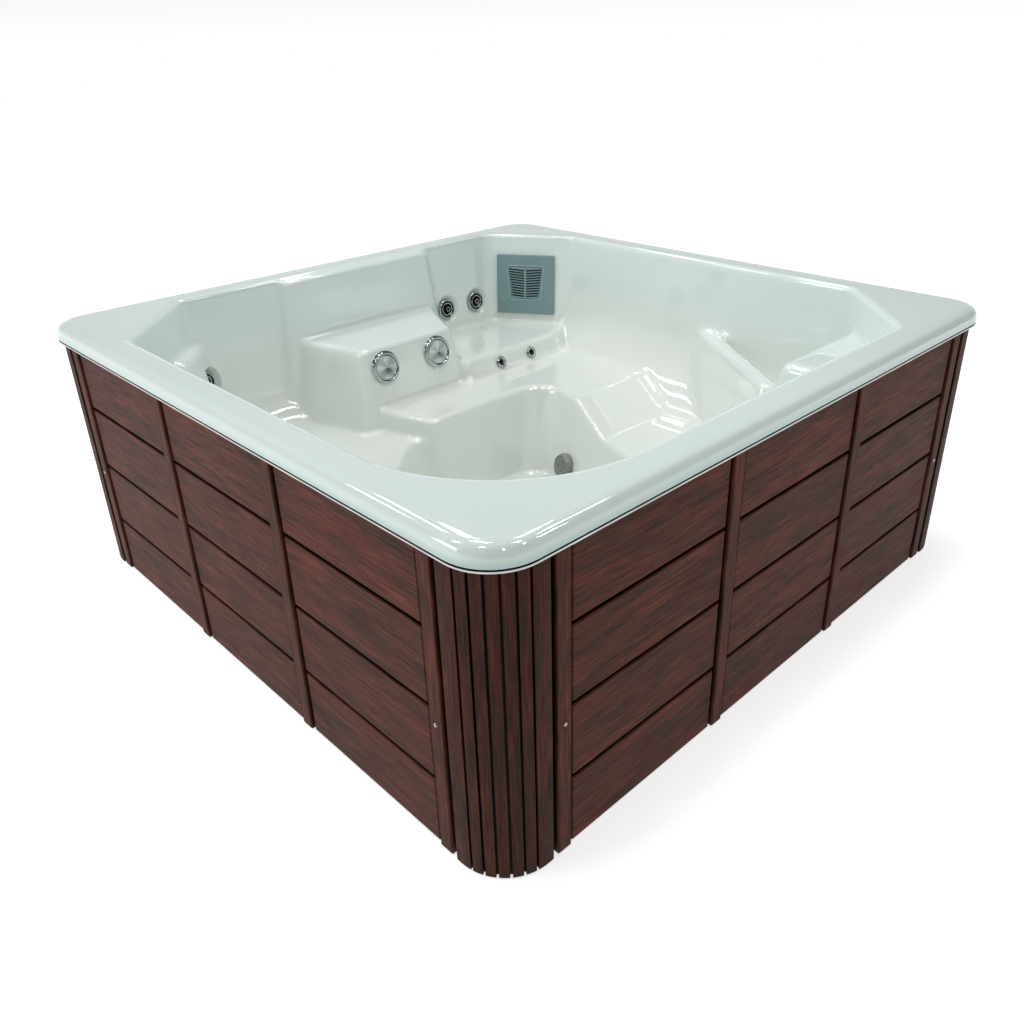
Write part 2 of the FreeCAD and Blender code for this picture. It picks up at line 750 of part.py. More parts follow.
def jet_body(jet):
    """Wall fitting with a flange in front and an axial hose stub behind."""
    back = -jet.depth
    tip = back - jet.stub_length
    return turned(((jet.bore_r, jet.flange_t), (jet.flange_r, jet.flange_t), (jet.flange_r, 0),
                   (jet.barrel_r, 0), (jet.barrel_r, back), (jet.stub_r, back), (jet.stub_r, tip),
                   (jet.stub_bore, tip), (jet.stub_bore, back + jet.back_t), (jet.bore_r, back + jet.back_t)))


def back_jet_body():
    """Shallow wall fitting with its hose stub pointing down."""
    jet = BACK_JET
    back = -jet.depth
    plug = turned(((0, jet.flange_t), (jet.flange_r, jet.flange_t), (jet.flange_r, 0), (jet.barrel_r, 0),
                   (jet.barrel_r, back), (0, back)))
    bore = turned(((0, jet.flange_t + 1), (jet.bore_r, jet.flange_t + 1), (jet.bore_r, back + jet.back_t),
                   (0, back + jet.back_t)))
    start = Vector(0, 0, BACK_STUB_Z)
    end = Vector(0, -jet.barrel_r - jet.stub_length, BACK_STUB_Z)
    way = rod(start, end - Vector(0, 1, 0), jet.stub_bore)
    return plug.fuse(rod(start, end, jet.stub_r)).cut([bore, way])


def jet_nut(jet):
    inner = jet.barrel_r + SEAT_GAP
    return turned(((inner, -SHELL_WALL), (inner + NUT_W, -SHELL_WALL), (inner + NUT_W, -SHELL_WALL - NUT_T),
                   (inner, -SHELL_WALL - NUT_T)))


def step_ring():
    seat = STEP_JET.flange_t + TURN_GAP
    hub = STEP_JET.bore_r - TURN_GAP
    web = seat + STEP_WEB_T
    top = STEP_RING_TOP
    bevel = STEP_RING_BEVEL
    return turned(((hub - HUB_WALL, -HUB_LENGTH), (hub, -HUB_LENGTH), (hub, seat),
                   (STEP_RING_R - STEP_RING_EDGE, seat), (STEP_RING_R, seat + STEP_RING_EDGE),
                   (STEP_RING_R, top - bevel), (STEP_RING_R - bevel / 2, top - STEP_RING_EDGE),
                   (STEP_RING_R - bevel, top), (STEP_RING_IN + STEP_RING_EASE, top),
                   (STEP_RING_IN, top - STEP_RING_EASE), (STEP_RING_IN, web), (hub - HUB_WALL, web)))


def step_disc():
    low = STEP_JET.flange_t + TURN_GAP + STEP_WEB_T
    high = low + STEP_DISC_T
    return turned(((0, low), (STEP_DISC_R, low), (STEP_DISC_R, high - STEP_RING_EDGE),
                   (STEP_DISC_R - STEP_RING_EDGE, high), (0, high)))


def back_ring():
    seat = BACK_JET.flange_t + TURN_GAP
    hub = BACK_JET.bore_r - TURN_GAP
    top = BACK_RING_TOP
    groove = top - BACK_GROOVE_DEEP
    crest = BACK_RING_R - BACK_GROOVE_OUT
    solid = turned(((BACK_MOUTH_R, -BACK_HUB_LENGTH), (hub, -BACK_HUB_LENGTH), (hub, seat),
                    (BACK_RING_R, seat), (BACK_RING_R, top - BACK_RING_BEVEL),
                    (BACK_RING_R - BACK_RING_BEVEL, top), (crest, top),
                    (crest - BACK_GROOVE_DEEP, groove), (BACK_MOUTH_R + BACK_GROOVE_IN, groove),
                    (BACK_MOUTH_R + BACK_GROOVE_DEEP, top), (BACK_MOUTH_R, top)))
    return solid.cut(Part.makeSphere(BALL_R + BALL_GAP, Vector(0, 0, BALL_Z)))


def back_nozzle():
    ball = Part.makeSphere(BALL_R, Vector(0, 0, BALL_Z))
    slab = box(-BALL_R, BALL_R, -BALL_R, BALL_R, BALL_Z - BALL_FRONT, BALL_Z + BALL_FRONT)
    spout = rod(Vector(0, 0, BALL_Z), Vector(0, 0, NOZZLE_TIP), NOZZLE_R)
    bore = rod(Vector(0, 0, BALL_Z - BALL_R), Vector(0, 0, NOZZLE_TIP + 1), NOZZLE_BORE)
    return ball.common(slab).fuse(spout).cut(bore).removeSplitter()


def foot_face():
    seat = FOOT_JET.flange_t + TURN_GAP
    hub = FOOT_JET.bore_r - TURN_GAP
    low = FOOT_FACE_TOP - FOOT_FACE_BEVEL
    return turned(((FOOT_MOUTH_R, -FOOT_HUB_LENGTH), (hub, -FOOT_HUB_LENGTH), (hub, seat),
                   (FOOT_FACE_R, seat), (FOOT_FACE_R, low), (FOOT_FACE_R - FOOT_FACE_BEVEL, FOOT_FACE_TOP),
                   (FOOT_MOUTH_R + FOOT_MOUTH_FLARE, FOOT_FACE_TOP), (FOOT_MOUTH_R, low)))


def suction_cover():
    inner = COVER_R - COVER_WALL
    under = COVER_T - COVER_WALL
    solid = turned(((0, under), (inner - COVER_SHOULDER, under - COVER_DOME), (inner, COVER_T / 2),
                    (inner, 0), (COVER_R, 0), (COVER_R, COVER_T / 2),
                    (COVER_R - COVER_SHOULDER, COVER_T - COVER_DOME), (0, COVER_T)))
    holes = [Part.makeCylinder(COVER_HOLE_R, COVER_T + 1)]
    for ring in range(1, COVER_RINGS + 1):
        radius = ring * COVER_RING_PITCH
        count = ring * COVER_RING_STEP
        for i in range(count):
            angle = 360.0 * i / count
            spot = Vector(radius * cos_deg(angle), radius * sin_deg(angle), 0)
            holes.append(Part.makeCylinder(COVER_HOLE_R, COVER_T + 1, spot))
    return solid.cut(holes)


# Skimmer and filter, in the local axes of the far corner's wall

def skimmer_housing():
    wall = SKIMMER_WALL
    half_w = SKIMMER_HALF_W
    half_h = SKIMMER_HALF_H
    shaft_front = -SHELL_WALL - SKIMMER_GAP
    mouth = box(-half_w, half_w, -half_h, half_h, -SKIMMER_DEEP, 0)
    shaft = box(-half_w, half_w, -SKIMMER_DROP, half_h, -SKIMMER_DEEP, shaft_front)
    flange = box(-half_w - SKIMMER_FLANGE, half_w + SKIMMER_FLANGE, -half_h - SKIMMER_FLANGE,
                 half_h + SKIMMER_FLANGE, 0, SKIMMER_FLANGE_T)
    outlet_top = Vector(0, wall - SKIMMER_DROP, CARTRIDGE_IN)
    outlet_end = Vector(0, -SKIMMER_DROP - SKIMMER_OUTLET, CARTRIDGE_IN)
    solid = mouth.fuse([shaft, flange, rod(outlet_top, outlet_end, SKIMMER_OUTLET_R)])
    inside_mouth = box(wall - half_w, half_w - wall, wall - half_h, half_h - wall, wall - SKIMMER_DEEP,
                       SKIMMER_FLANGE_T + 1)
    inside_shaft = box(wall - half_w, half_w - wall, wall - SKIMMER_DROP, half_h - wall, wall - SKIMMER_DEEP,
                       shaft_front - wall)
    bore = rod(outlet_top + Vector(0, 1, 0), outlet_end, SKIMMER_OUTLET_R - wall)
    pivot_end = Vector(half_w + 1, WEIR_AXIS_UP, WEIR_AXIS_IN)
    pivot = rod(Vector(-pivot_end.x, pivot_end.y, pivot_end.z), pivot_end, WEIR_PIN_R + SEAT_GAP)
    screw = rod(Vector(0, PLATE_SCREW_UP, -1), Vector(0, PLATE_SCREW_UP, SKIMMER_FLANGE_T + 1),
                SCREW_SHANK_R + SEAT_GAP)
    return solid.cut([inside_mouth, inside_shaft, bore, pivot, screw]).removeSplitter()


def plate_levels():
    """Back and front heights of the filter plate over the wall."""
    back = SKIMMER_FLANGE_T + SEAT_GAP
    return back, back + PLATE_T


def louvre(side, width, top, depth):
    """Slot that climbs outwards from the plate's middle rib."""
    near = side * LOUVRE_RIB / 2
    far = near + side * width
    rise = LOUVRE_RISE * width / LOUVRE_TOP_W
    corners = [Vector(near, top - LOUVRE_SLOT_H, 0), Vector(far, top - LOUVRE_SLOT_H + rise, 0),
               Vector(far, top + rise, 0), Vector(near, top, 0)]
    return Part.Face(Part.makePolygon(corners + corners[:1])).extrude(Vector(0, 0, depth))


def skimmer_faceplate():
    back, front = plate_levels()
    solid = box(-PLATE_HALF_W, PLATE_HALF_W, -PLATE_HALF_H, PLATE_HALF_H, 2 * SEAT_GAP, front)
    solid = solid.makeChamfer(PLATE_BEVEL, level_edges(solid, front))
    hollow = box(PLATE_SKIRT - PLATE_HALF_W, PLATE_HALF_W - PLATE_SKIRT, PLATE_SKIRT - PLATE_HALF_H,
                 PLATE_HALF_H - PLATE_SKIRT, 0, back)
    slots = []
    for row in range(LOUVRE_ROWS):
        share = row / (LOUVRE_ROWS - 1)
        width = LOUVRE_TOP_W + (LOUVRE_LOW_W - LOUVRE_TOP_W) * share
        top = LOUVRE_TOP_UP - row * LOUVRE_PITCH
        for side in (-1, 1):
            slots.append(louvre(side, width, top, front + 1))
    screw = rod(Vector(0, PLATE_SCREW_UP, 0), Vector(0, PLATE_SCREW_UP, front + 1), SCREW_SHANK_R + SEAT_GAP)
    return solid.cut([hollow, screw] + slots)


def screw(length):
    """Screw whose head stands on local height zero."""
    return turned(((0, -length), (SCREW_SHANK_R, -length), (SCREW_SHANK_R, 0), (SCREW_HEAD_R, 0),
                   (SCREW_HEAD_R - 1, SCREW_HEAD_T), (0, SCREW_HEAD_T)))


def faceplate_screw():
    front = plate_levels()[1]
    fixing = screw(front - SEAT_GAP)
    fixing.translate(Vector(0, PLATE_SCREW_UP, front))
    return fixing


def weir_flap():
    half = SKIMMER_HALF_W - SKIMMER_WALL - WEIR_SIDE_GAP
    pin_end = SKIMMER_HALF_W - SEAT_GAP
    axis = Vector(0, WEIR_AXIS_UP, WEIR_AXIS_IN)
    leaf = box(-half, half, WEIR_AXIS_UP, WEIR_AXIS_UP + WEIR_H, WEIR_AXIS_IN - WEIR_T / 2,
               WEIR_AXIS_IN + WEIR_T / 2)
    barrel = rod(axis - Vector(half, 0, 0), axis + Vector(half, 0, 0), WEIR_BARREL_R)
    pins = rod(axis - Vector(pin_end, 0, 0), axis + Vector(pin_end, 0, 0), WEIR_PIN_R)
    return leaf.fuse([barrel, pins]).removeSplitter()


def filter_cartridge():
    low = SKIMMER_WALL - SKIMMER_DROP
    corners = []
    for i in range(2 * CARTRIDGE_PLEATS):
        radius = CARTRIDGE_R if i % 2 else CARTRIDGE_R - CARTRIDGE_PLEAT
        angle = 180.0 * i / CARTRIDGE_PLEATS
        corners.append(Vector(radius * cos_deg(angle), low, CARTRIDGE_IN + radius * sin_deg(angle)))
    pleats = Part.Face(Part.makePolygon(corners + corners[:1])).extrude(Vector(0, CARTRIDGE_LENGTH, 0))
    solids = [pleats]
    for start in (low, low + CARTRIDGE_LENGTH - CARTRIDGE_CAP_T):
        solids.append(rod(Vector(0, start, CARTRIDGE_IN), Vector(0, start + CARTRIDGE_CAP_T, CARTRIDGE_IN),
                          CARTRIDGE_R + 1))
    core = rod(Vector(0, low, CARTRIDGE_IN), Vector(0, low + CARTRIDGE_LENGTH, CARTRIDGE_IN),
               SKIMMER_OUTLET_R - SKIMMER_WALL)
    return solids[0].fuse(solids[1:]).cut(core).removeSplitter()


# Cabinet: each side is made as the front, facing -Y, and turned round

def bevelled_board(x0, x1, z0, z1, back, front):
    board = box(x0, x1, -front, -back, z0, z1)
    edges = [edge for edge in board.Edges if all(abs(v.Y + front) < 0.01 for v in edge.Vertexes)]
    return board.makeChamfer(BOARD_BEVEL, edges)


def board_levels():
    middle = (CABINET_FOOT + CABINET_TOP) / 2
    half = BOARD_GROOVE / 2
    grooves = [middle - BOARD_ROW, middle, middle + BOARD_ROW]
    lows = [CABINET_FOOT] + [z + half for z in grooves]
    highs = [z - half for z in grooves] + [CABINET_TOP]
    return list(zip(lows, highs))


def side_boards():
    half = (BAY_PITCH - BATTEN_W) / 2 - BOARD_GAP
    boards = []
    for bay in (-1, 0, 1):
        middle = bay * BAY_PITCH
        for low, high in board_levels():
            boards.append(bevelled_board(middle - half, middle + half, low, high, POST_FACE, BOARD_FACE))
    return boards


def batten_places():
    return [BAY_PITCH * k for k in (-1.5, -0.5, 0.5, 1.5)]


def screw_places():
    return [batten_places()[0], batten_places()[-1]]


def screw_hole(x):
    return rod(Vector(x, -FACE_HALF - 1, SCREW_Z), Vector(x, SCREW_LENGTH + 1 - FACE_HALF, SCREW_Z),
               SCREW_SHANK_R + SEAT_GAP)


def side_battens():
    battens = []
    for x in batten_places():
        batten = bevelled_board(x - BATTEN_W / 2, x + BATTEN_W / 2, CABINET_FOOT, CABINET_TOP, POST_FACE,
                                FACE_HALF)
        if x in screw_places():
            batten = batten.cut(screw_hole(x))
        battens.append(batten)
    return battens


def side_screws():
    screws = []
    for x in screw_places():
        fixing = screw(SCREW_LENGTH)
        fixing.rotate(Vector(0, 0, 0), Vector(1, 0, 0), 90)
        fixing.translate(Vector(x, -FACE_HALF, SCREW_Z))
        screws.append(fixing)
    return screws


def corner_panel():
    """Fluted quarter-round panel of the near corner, at +X and -Y."""
    height = CABINET_TOP - CABINET_FOOT
    middle = Vector(CORNER_C, -CORNER_C, CABINET_FOOT)
    inner = CORNER_R - CORNER_T
    ring = Part.makeCylinder(CORNER_R, height, middle, UP, 90)
    ring = ring.cut(Part.makeCylinder(inner, height, middle, UP, 90))
    ring.rotate(middle, UP, -90)
    ends = [
        box(CORNER_C - CORNER_OVERRUN, CORNER_C, -FACE_HALF, CORNER_T - FACE_HALF, CABINET_FOOT, CABINET_TOP),
        box(FACE_HALF - CORNER_T, FACE_HALF, -CORNER_C, CORNER_OVERRUN - CORNER_C, CABINET_FOOT, CABINET_TOP),
    ]
    flutes = []
    for i in range(1, CORNER_SLATS):
        cutter = box(CORNER_R - SLAT_GROOVE_DEEP, CORNER_R + 1, -SLAT_GROOVE_W / 2, SLAT_GROOVE_W / 2, -1,
                     height + 1)
        cutter.rotate(Vector(0, 0, 0), UP, -90.0 * i / CORNER_SLATS)
        cutter.translate(middle)
        flutes.append(cutter)
    return ring.fuse(ends).cut(flutes).removeSplitter()


# Frame

def base_pan():
    half = POST_FACE - PAN_GAP
    return rounded_square(half, half - CORNER_C, 0.0, PAN_T)


def end_post_edge():
    """Outer edge of the last post, just short of the corner post."""
    return CORNER_C - SEAT_GAP


def side_sill():
    return box(-end_post_edge(), end_post_edge(), -POST_FACE, POST_D - POST_FACE, PAN_T, SILL_TOP)


def side_posts():
    posts = []
    for x in batten_places():
        low = max(x - POST_W / 2, -end_post_edge())
        high = min(x + POST_W / 2, end_post_edge())
        post = box(low, high, -POST_FACE, POST_D - POST_FACE, SILL_TOP, SKIRT_LOW)
        if x in screw_places():
            post = post.cut(screw_hole(x))
        posts.append(post)
    return posts


def side_top_rail():
    outer = RIM_HALF - RIM_ROUND - FRAME_GAP
    length = RIM_HALF - RIM_CORNER - FRAME_GAP
    return box(-length, length, -outer, TOP_RAIL_W - outer, SKIRT_LOW, DECK_UNDER)


def corner_post():
    radius = CORNER_R - CORNER_T - SEAT_GAP
    post = Part.makeCylinder(radius, CABINET_TOP - PAN_T, Vector(CORNER_C, -CORNER_C, PAN_T), UP, 90)
    post.rotate(Vector(CORNER_C, -CORNER_C, 0), UP, -90)
    return post


def shell_supports():
    half = SUPPORT_SIZE / 2
    blocks = []
    for x, y in SUPPORT_SPOTS:
        blocks.append(box(x - half, x + half, y - half, y + half, PAN_T, FLOOR_Z - SHELL_WALL))
    return blocks


def rim_trim():
    outer = rounded_square(RIM_HALF, RIM_CORNER, SKIRT_LOW - TRIM_T, SKIRT_LOW)
    inner = rounded_square(RIM_HALF - TRIM_W, RIM_CORNER - TRIM_W, SKIRT_LOW - TRIM_T - 1, SKIRT_LOW + 1)
    return outer.cut(inner)


# Pipes

def pipe_path(points, bend):
    """Straight runs joined by tangent arcs of one radius."""
    edges = []
    start = points[0]
    for before, corner, after in zip(points, points[1:], points[2:]):
        come = (corner - before).normalize()
        leave = (after - corner).normalize()
        half_turn = come.getAngle(leave) / 2
        trim = bend * math.tan(half_turn)
        enter = corner - come * trim
        exit_point = corner + leave * trim
        inwards = (leave - come).normalize()
        middle = corner + inwards * (bend / math.cos(half_turn) - bend)
        edges.append(Part.LineSegment(start, enter).toShape())
        edges.append(Part.Arc(enter, middle, exit_point).toShape())
        start = exit_point
    edges.append(Part.LineSegment(start, points[-1]).toShape())
    return Part.Wire(edges)


def solid_pipe(points, bend, radius):
    along = points[1] - points[0]
    ring = Part.Wire(Part.makeCircle(radius, points[0], along))
    return pipe_path(points, bend).makePipeShell([ring], True, False)


def tube(points, bend, radius, bore):
    return solid_pipe(points, bend, radius).cut(solid_pipe(points, bend, bore))


def manifold_z():
    """Height at which the foot jets' straight hoses meet the manifold's axis."""
    face = left_wall_place(CORNER_SEAT_X, CORNER_SEAT_Z, FOOT_RISER_DRAFT, 0, FOOT_JET_Z).Base
    return face.z - (face.x - MANIFOLD_X) * tan_deg(FOOT_RISER_DRAFT)


def hose_ends(jet, place):
    """Stub end of an axial jet body and the direction in which its hose leaves."""
    tip = place.multVec(Vector(0, 0, -jet.depth - jet.stub_length))
    return tip, place.Rotation.multVec(Vector(0, 0, -1))


def step_hose_points(place):
    tip, away = hose_ends(STEP_JET, place)
    run = (tip.x - MANIFOLD_X) / -away.x
    corner = tip + away * run
    return [tip, corner, Vector(MANIFOLD_X, tip.y, manifold_z() + MANIFOLD_STUB)]


def back_hose_points(place):
    tip = place.multVec(Vector(0, -BACK_JET.barrel_r - BACK_JET.stub_length, BACK_STUB_Z))
    away = place.Rotation.multVec(Vector(0, -1, 0))
    corner = tip + away * ((tip.z - manifold_z()) / -away.z)
    return [tip, corner, Vector(MANIFOLD_X - MANIFOLD_STUB, tip.y, manifold_z())]


def foot_hose_points(place):
    tip, away = hose_ends(FOOT_JET, place)
    axis = Vector(MANIFOLD_X, tip.y, manifold_z())
    return [tip, axis - away * MANIFOLD_STUB]


def seat_hose_points(place):
    """The seat jet's hose drops beside the wall, then runs under the seat to the manifold's end."""
    tip = place.multVec(Vector(0, -BACK_JET.barrel_r - BACK_JET.stub_length, BACK_STUB_Z))
    away = place.Rotation.multVec(Vector(0, -1, 0))
    corner = tip + away * ((tip.z - SEAT_HOSE_Z) / -away.z)
    end = Vector(MANIFOLD_X, MANIFOLD_START - MANIFOLD_STUB, manifold_z())
    level = end - Vector(0, HOSE_BEND, 0)
    climb = Vector(MANIFOLD_X, level.y - (level.z - SEAT_HOSE_Z), SEAT_HOSE_Z)
    return [tip, corner, Vector(MANIFOLD_X, tip.y, SEAT_HOSE_Z), climb, level, end]


def jet_hoses():
    hoses = []
    for place in step_jet_places():
        hoses.append(tube(step_hose_points(place), HOSE_BEND, STEP_JET.stub_r, STEP_JET.stub_bore))
    left, right, seat = back_jet_places()
    for points in (back_hose_points(left), back_hose_points(right), seat_hose_points(seat)):
        hoses.append(tube(points, HOSE_BEND, BACK_JET.stub_r, BACK_JET.stub_bore))
    for place in foot_jet_places():
        start, end = foot_hose_points(place)
        hoses.append(rod(start, end, FOOT_JET.stub_r).cut(rod(start, end, FOOT_JET.stub_bore)))
    return hoses


def water_manifold():
    z = manifold_z()
    start = Vector(MANIFOLD_X, MANIFOLD_START, z)
    end = Vector(MANIFOLD_X, MANIFOLD_END, z)
    shells = [rod(start, end, MANIFOLD_R)]
    bores = [rod(start + Vector(0, MANIFOLD_R - MANIFOLD_BORE, 0), end, MANIFOLD_BORE)]
    stubs = [(step_hose_points(place)[-1], STEP_JET) for place in step_jet_places()]
    stubs += [(back_hose_points(place)[-1], BACK_JET) for place in back_jet_places()[:2]]
    stubs += [(foot_hose_points(place)[-1], FOOT_JET) for place in foot_jet_places()]
    for tip, jet in stubs:
        axis = Vector(MANIFOLD_X, tip.y, z)
        shells.append(rod(axis, tip, jet.stub_r))
        bores.append(rod(axis, tip, jet.stub_bore))
    seat_tip = start - Vector(0, MANIFOLD_STUB, 0)
    inside = start + Vector(0, MANIFOLD_BORE, 0)
    shells.append(rod(inside, seat_tip, BACK_JET.stub_r))
    bores.append(rod(inside, seat_tip, BACK_JET.stub_bore))
    return shells[0].fuse(shells[1:]).cut(bores).removeSplitter()


# Pump, valves and heater

def along_y(y):
    return Vector(PUMP_X, y, PUMP_Z)


def motor_start():
    return WET_END_Y + WET_END_L


def discharge_x():
    return PUMP_X - DISCHARGE_SIDE


def wet_end_middle():
    return WET_END_Y + WET_END_L / 2


def valve_low():
    return PUMP_Z + DISCHARGE_UP


def pump_wet_end():
    inlet = WET_END_Y - PIPE_R
    volute = rod(along_y(WET_END_Y), along_y(motor_start()), WET_END_R)
    nose = rod(along_y(inlet), along_y(WET_END_Y + 1), PIPE_R)
    riser_low = Vector(discharge_x(), wet_end_middle(), PUMP_Z)
    riser_top = Vector(discharge_x(), wet_end_middle(), valve_low())
    foot = box(PUMP_X - WET_END_R / 2, PUMP_X + WET_END_R / 2, WET_END_Y, motor_start(), PAN_T,
               PUMP_Z - WET_BORE_R - 1)
    solid = volute.fuse([nose, rod(riser_low, riser_top, PIPE_R), foot])
    chamber = rod(along_y(WET_END_Y + WET_WALL), along_y(motor_start()), WET_BORE_R)
    bores = [chamber, rod(along_y(inlet), along_y(WET_END_Y + WET_WALL + 1), PIPE_BORE),
             rod(riser_low, riser_top, PIPE_BORE)]
    return solid.cut(bores).removeSplitter()


def pump_motor():
    start = motor_start()
    end = start + MOTOR_L
    can = rod(along_y(start), along_y(end), MOTOR_R)
    adaptor = rod(along_y(start), along_y(start + MOTOR_ADAPTOR_T), WET_END_R)
    foot = box(PUMP_X - MOTOR_FOOT_W / 2, PUMP_X + MOTOR_FOOT_W / 2, end - MOTOR_FOOT_L, end, PAN_T,
               PAN_T + MOTOR_FOOT_T)
    leg = box(PUMP_X - MOTOR_FOOT_W / 4, PUMP_X + MOTOR_FOOT_W / 4, end - MOTOR_FOOT_L, end, PAN_T, PUMP_Z)
    fins = []
    gap = (MOTOR_L - MOTOR_FIN_START - MOTOR_FIN_END) / MOTOR_FINS
    for i in range(MOTOR_FINS):
        y = start + MOTOR_FIN_START + gap * i
        fins.append(rod(along_y(y), along_y(y + gap / 2), MOTOR_R + MOTOR_FIN))
    bore = rod(along_y(start), along_y(start + SHAFT_IN_MOTOR + 1), SHAFT_R + SHAFT_GAP)
    return can.fuse([adaptor, foot, leg] + fins).cut(bore).removeSplitter()


def pump_rotor():
    back = motor_start() - ROTOR_GAP
    front = back - ROTOR_T
    disc = rod(along_y(back - ROTOR_DISC_T), along_y(back), ROTOR_R)
    hub = rod(along_y(front), along_y(motor_start() + SHAFT_IN_MOTOR), SHAFT_R)
    vanes = []
    for i in range(ROTOR_VANES):
        vane = box(PUMP_X + SHAFT_R / 2, PUMP_X + ROTOR_R - VANE_END, front, back - ROTOR_DISC_T / 2,
                   PUMP_Z - VANE_T / 2, PUMP_Z + VANE_T / 2)
        vane.rotate(along_y(0), Vector(0, 1, 0), 360.0 * i / ROTOR_VANES)
        vanes.append(vane)
    return disc.fuse([hub] + vanes).removeSplitter()


def suction_valve_start():
    return WET_END_Y - PIPE_R - VALVE_T


def valve_block():
    """Slice valve body: flow along local z, gate sliding along local y."""
    body = box(-VALVE_HALF_W, VALVE_HALF_W, -VALVE_LOW, VALVE_HIGH, 0, VALVE_T)
    bore = Part.makeCylinder(PIPE_BORE, VALVE_T)
    middle = VALVE_T / 2
    half_t = GATE_T / 2 + GATE_GAP
    half_w = GATE_HALF_W + GATE_GAP
    slot = box(-half_w, half_w, -half_w, VALVE_HIGH + 1, middle - half_t, middle + half_t)
    return body.cut([bore, slot])


def valve_gate():
    """Gate drawn up to its open place."""
    low = GATE_TRAVEL - GATE_HALF_W
    middle = VALVE_T / 2
    leaf = box(-GATE_HALF_W, GATE_HALF_W, low, low + GATE_LENGTH, middle - GATE_T / 2, middle + GATE_T / 2)
    top = low + GATE_LENGTH
    handle = box(-GATE_HANDLE_W / 2, GATE_HANDLE_W / 2, top, top + GATE_HANDLE_H, middle - GATE_HANDLE_T / 2,
                 middle + GATE_HANDLE_T / 2)
    corners = [edge for edge in handle.Edges if abs(edge.tangentAt(edge.FirstParameter).z) > 0.9]
    return leaf.fuse(handle.makeFillet(GATE_HANDLE_ROUND, corners)).removeSplitter()


def suction_valve_place():
    """Flow along +Y, gate upwards."""
    return axes_at(along_y(suction_valve_start()), Vector(0, 1, 0))


def pressure_valve_place():
    """Flow upwards, gate towards +X."""
    base = Vector(discharge_x(), wet_end_middle(), valve_low())
    return FreeCAD.Placement(base, FreeCAD.Rotation(UP, -90))


def heater_start():
    return discharge_x() - HEATER_AWAY


def heater_tube():
    first = Vector(heater_start(), wet_end_middle(), manifold_z())
    last = first - Vector(HEATER_L, 0, 0)
    nut = Vector(HEATER_NUT_L, 0, 0)
    nuts = [rod(first, first - nut, HEATER_NUT_R), rod(last, last + nut, HEATER_NUT_R)]
    return rod(first, last, HEATER_R).fuse(nuts).cut(rod(first, last, PIPE_BORE)).removeSplitter()


def pressure_pipes():
    y = wet_end_middle()
    level = manifold_z()
    first = tube([Vector(discharge_x(), y, valve_low() + VALVE_T), Vector(discharge_x(), y, level),
                  Vector(heater_start(), y, level)], PIPE_BEND, PIPE_R, PIPE_BORE)
    last = tube([Vector(heater_start() - HEATER_L, y, level), Vector(MANIFOLD_X, y, level),
                 Vector(MANIFOLD_X, MANIFOLD_END, level)], PIPE_BEND, PIPE_R, PIPE_BORE)
    return [first, last]


def suction_pipe():
    """Main run from the footwell to the valve, with a branch from the skimmer."""
    place = suction_place()
    tip, away = hose_ends(SUCTION, place)
    end = along_y(suction_valve_start())
    main = [tip, tip + away * SUCTION_RUN, end - Vector(0, SUCTION_LEAD, 0), end]
    outlet = skimmer_place().multVec(Vector(0, -SKIMMER_DROP - SKIMMER_OUTLET, CARTRIDGE_IN))
    down = skimmer_place().Rotation.multVec(Vector(0, -1, 0))
    low = outlet + down * ((outlet.z - BRANCH_Z) / -down.z)
    join = end - Vector(0, BRANCH_LEAD, 0)
    branch = [outlet, low, Vector(join.x - BRANCH_SIDE, join.y + BRANCH_BACK, BRANCH_Z), join]
    bore = SKIMMER_OUTLET_R - SKIMMER_WALL
    outer = solid_pipe(main, SUCTION_BEND, PIPE_R).fuse(solid_pipe(branch, SUCTION_BEND, SKIMMER_OUTLET_R))
    inner = solid_pipe(main, SUCTION_BEND, PIPE_BORE).fuse(solid_pipe(branch, SUCTION_BEND, bore))
    return outer.cut(inner).removeSplitter()


# Control box, gland and drain, against the back

def control_box():
    back = POST_FACE - POST_D
    body = box(BOX_X - BOX_W / 2, BOX_X + BOX_W / 2, back - BOX_D, back, BOX_Z, BOX_Z + BOX_H)
    upright = [e for e in body.Edges if abs(e.tangentAt(e.FirstParameter).y) > 0.9]
    body = body.makeFillet(BOX_ROUND, upright)
    lid_half = BOX_W / 2 - LID_INSET
    lid = box(BOX_X - lid_half, BOX_X + lid_half, back - BOX_D - LID_STEP, back - BOX_D, BOX_Z + LID_INSET,
              BOX_Z + BOX_H - LID_INSET)
    return body.fuse(lid).removeSplitter()


def gland_axis(y):
    return Vector(GLAND_X, y, GLAND_Z)


def cable_gland():
    inside = POST_FACE - GLAND_FLANGE_T
    outside = BOARD_FACE + GLAND_FLANGE_T
    head = Part.Face(Part.makePolygon([
        gland_axis(BOARD_FACE) + Vector(GLAND_FLANGE_R * cos_deg(60 * i), 0, GLAND_FLANGE_R * sin_deg(60 * i))
        for i in range(7)])).extrude(Vector(0, GLAND_FLANGE_T, 0))
    nut = rod(gland_axis(inside), gland_axis(POST_FACE), GLAND_FLANGE_R)
    stem = rod(gland_axis(inside), gland_axis(outside), GLAND_R)
    bore = rod(gland_axis(inside - 1), gland_axis(outside + 1), GLAND_BORE)
    return stem.fuse([head, nut]).cut(bore).removeSplitter()


def drain_axis(y):
    return Vector(DRAIN_X, y, DRAIN_Z)


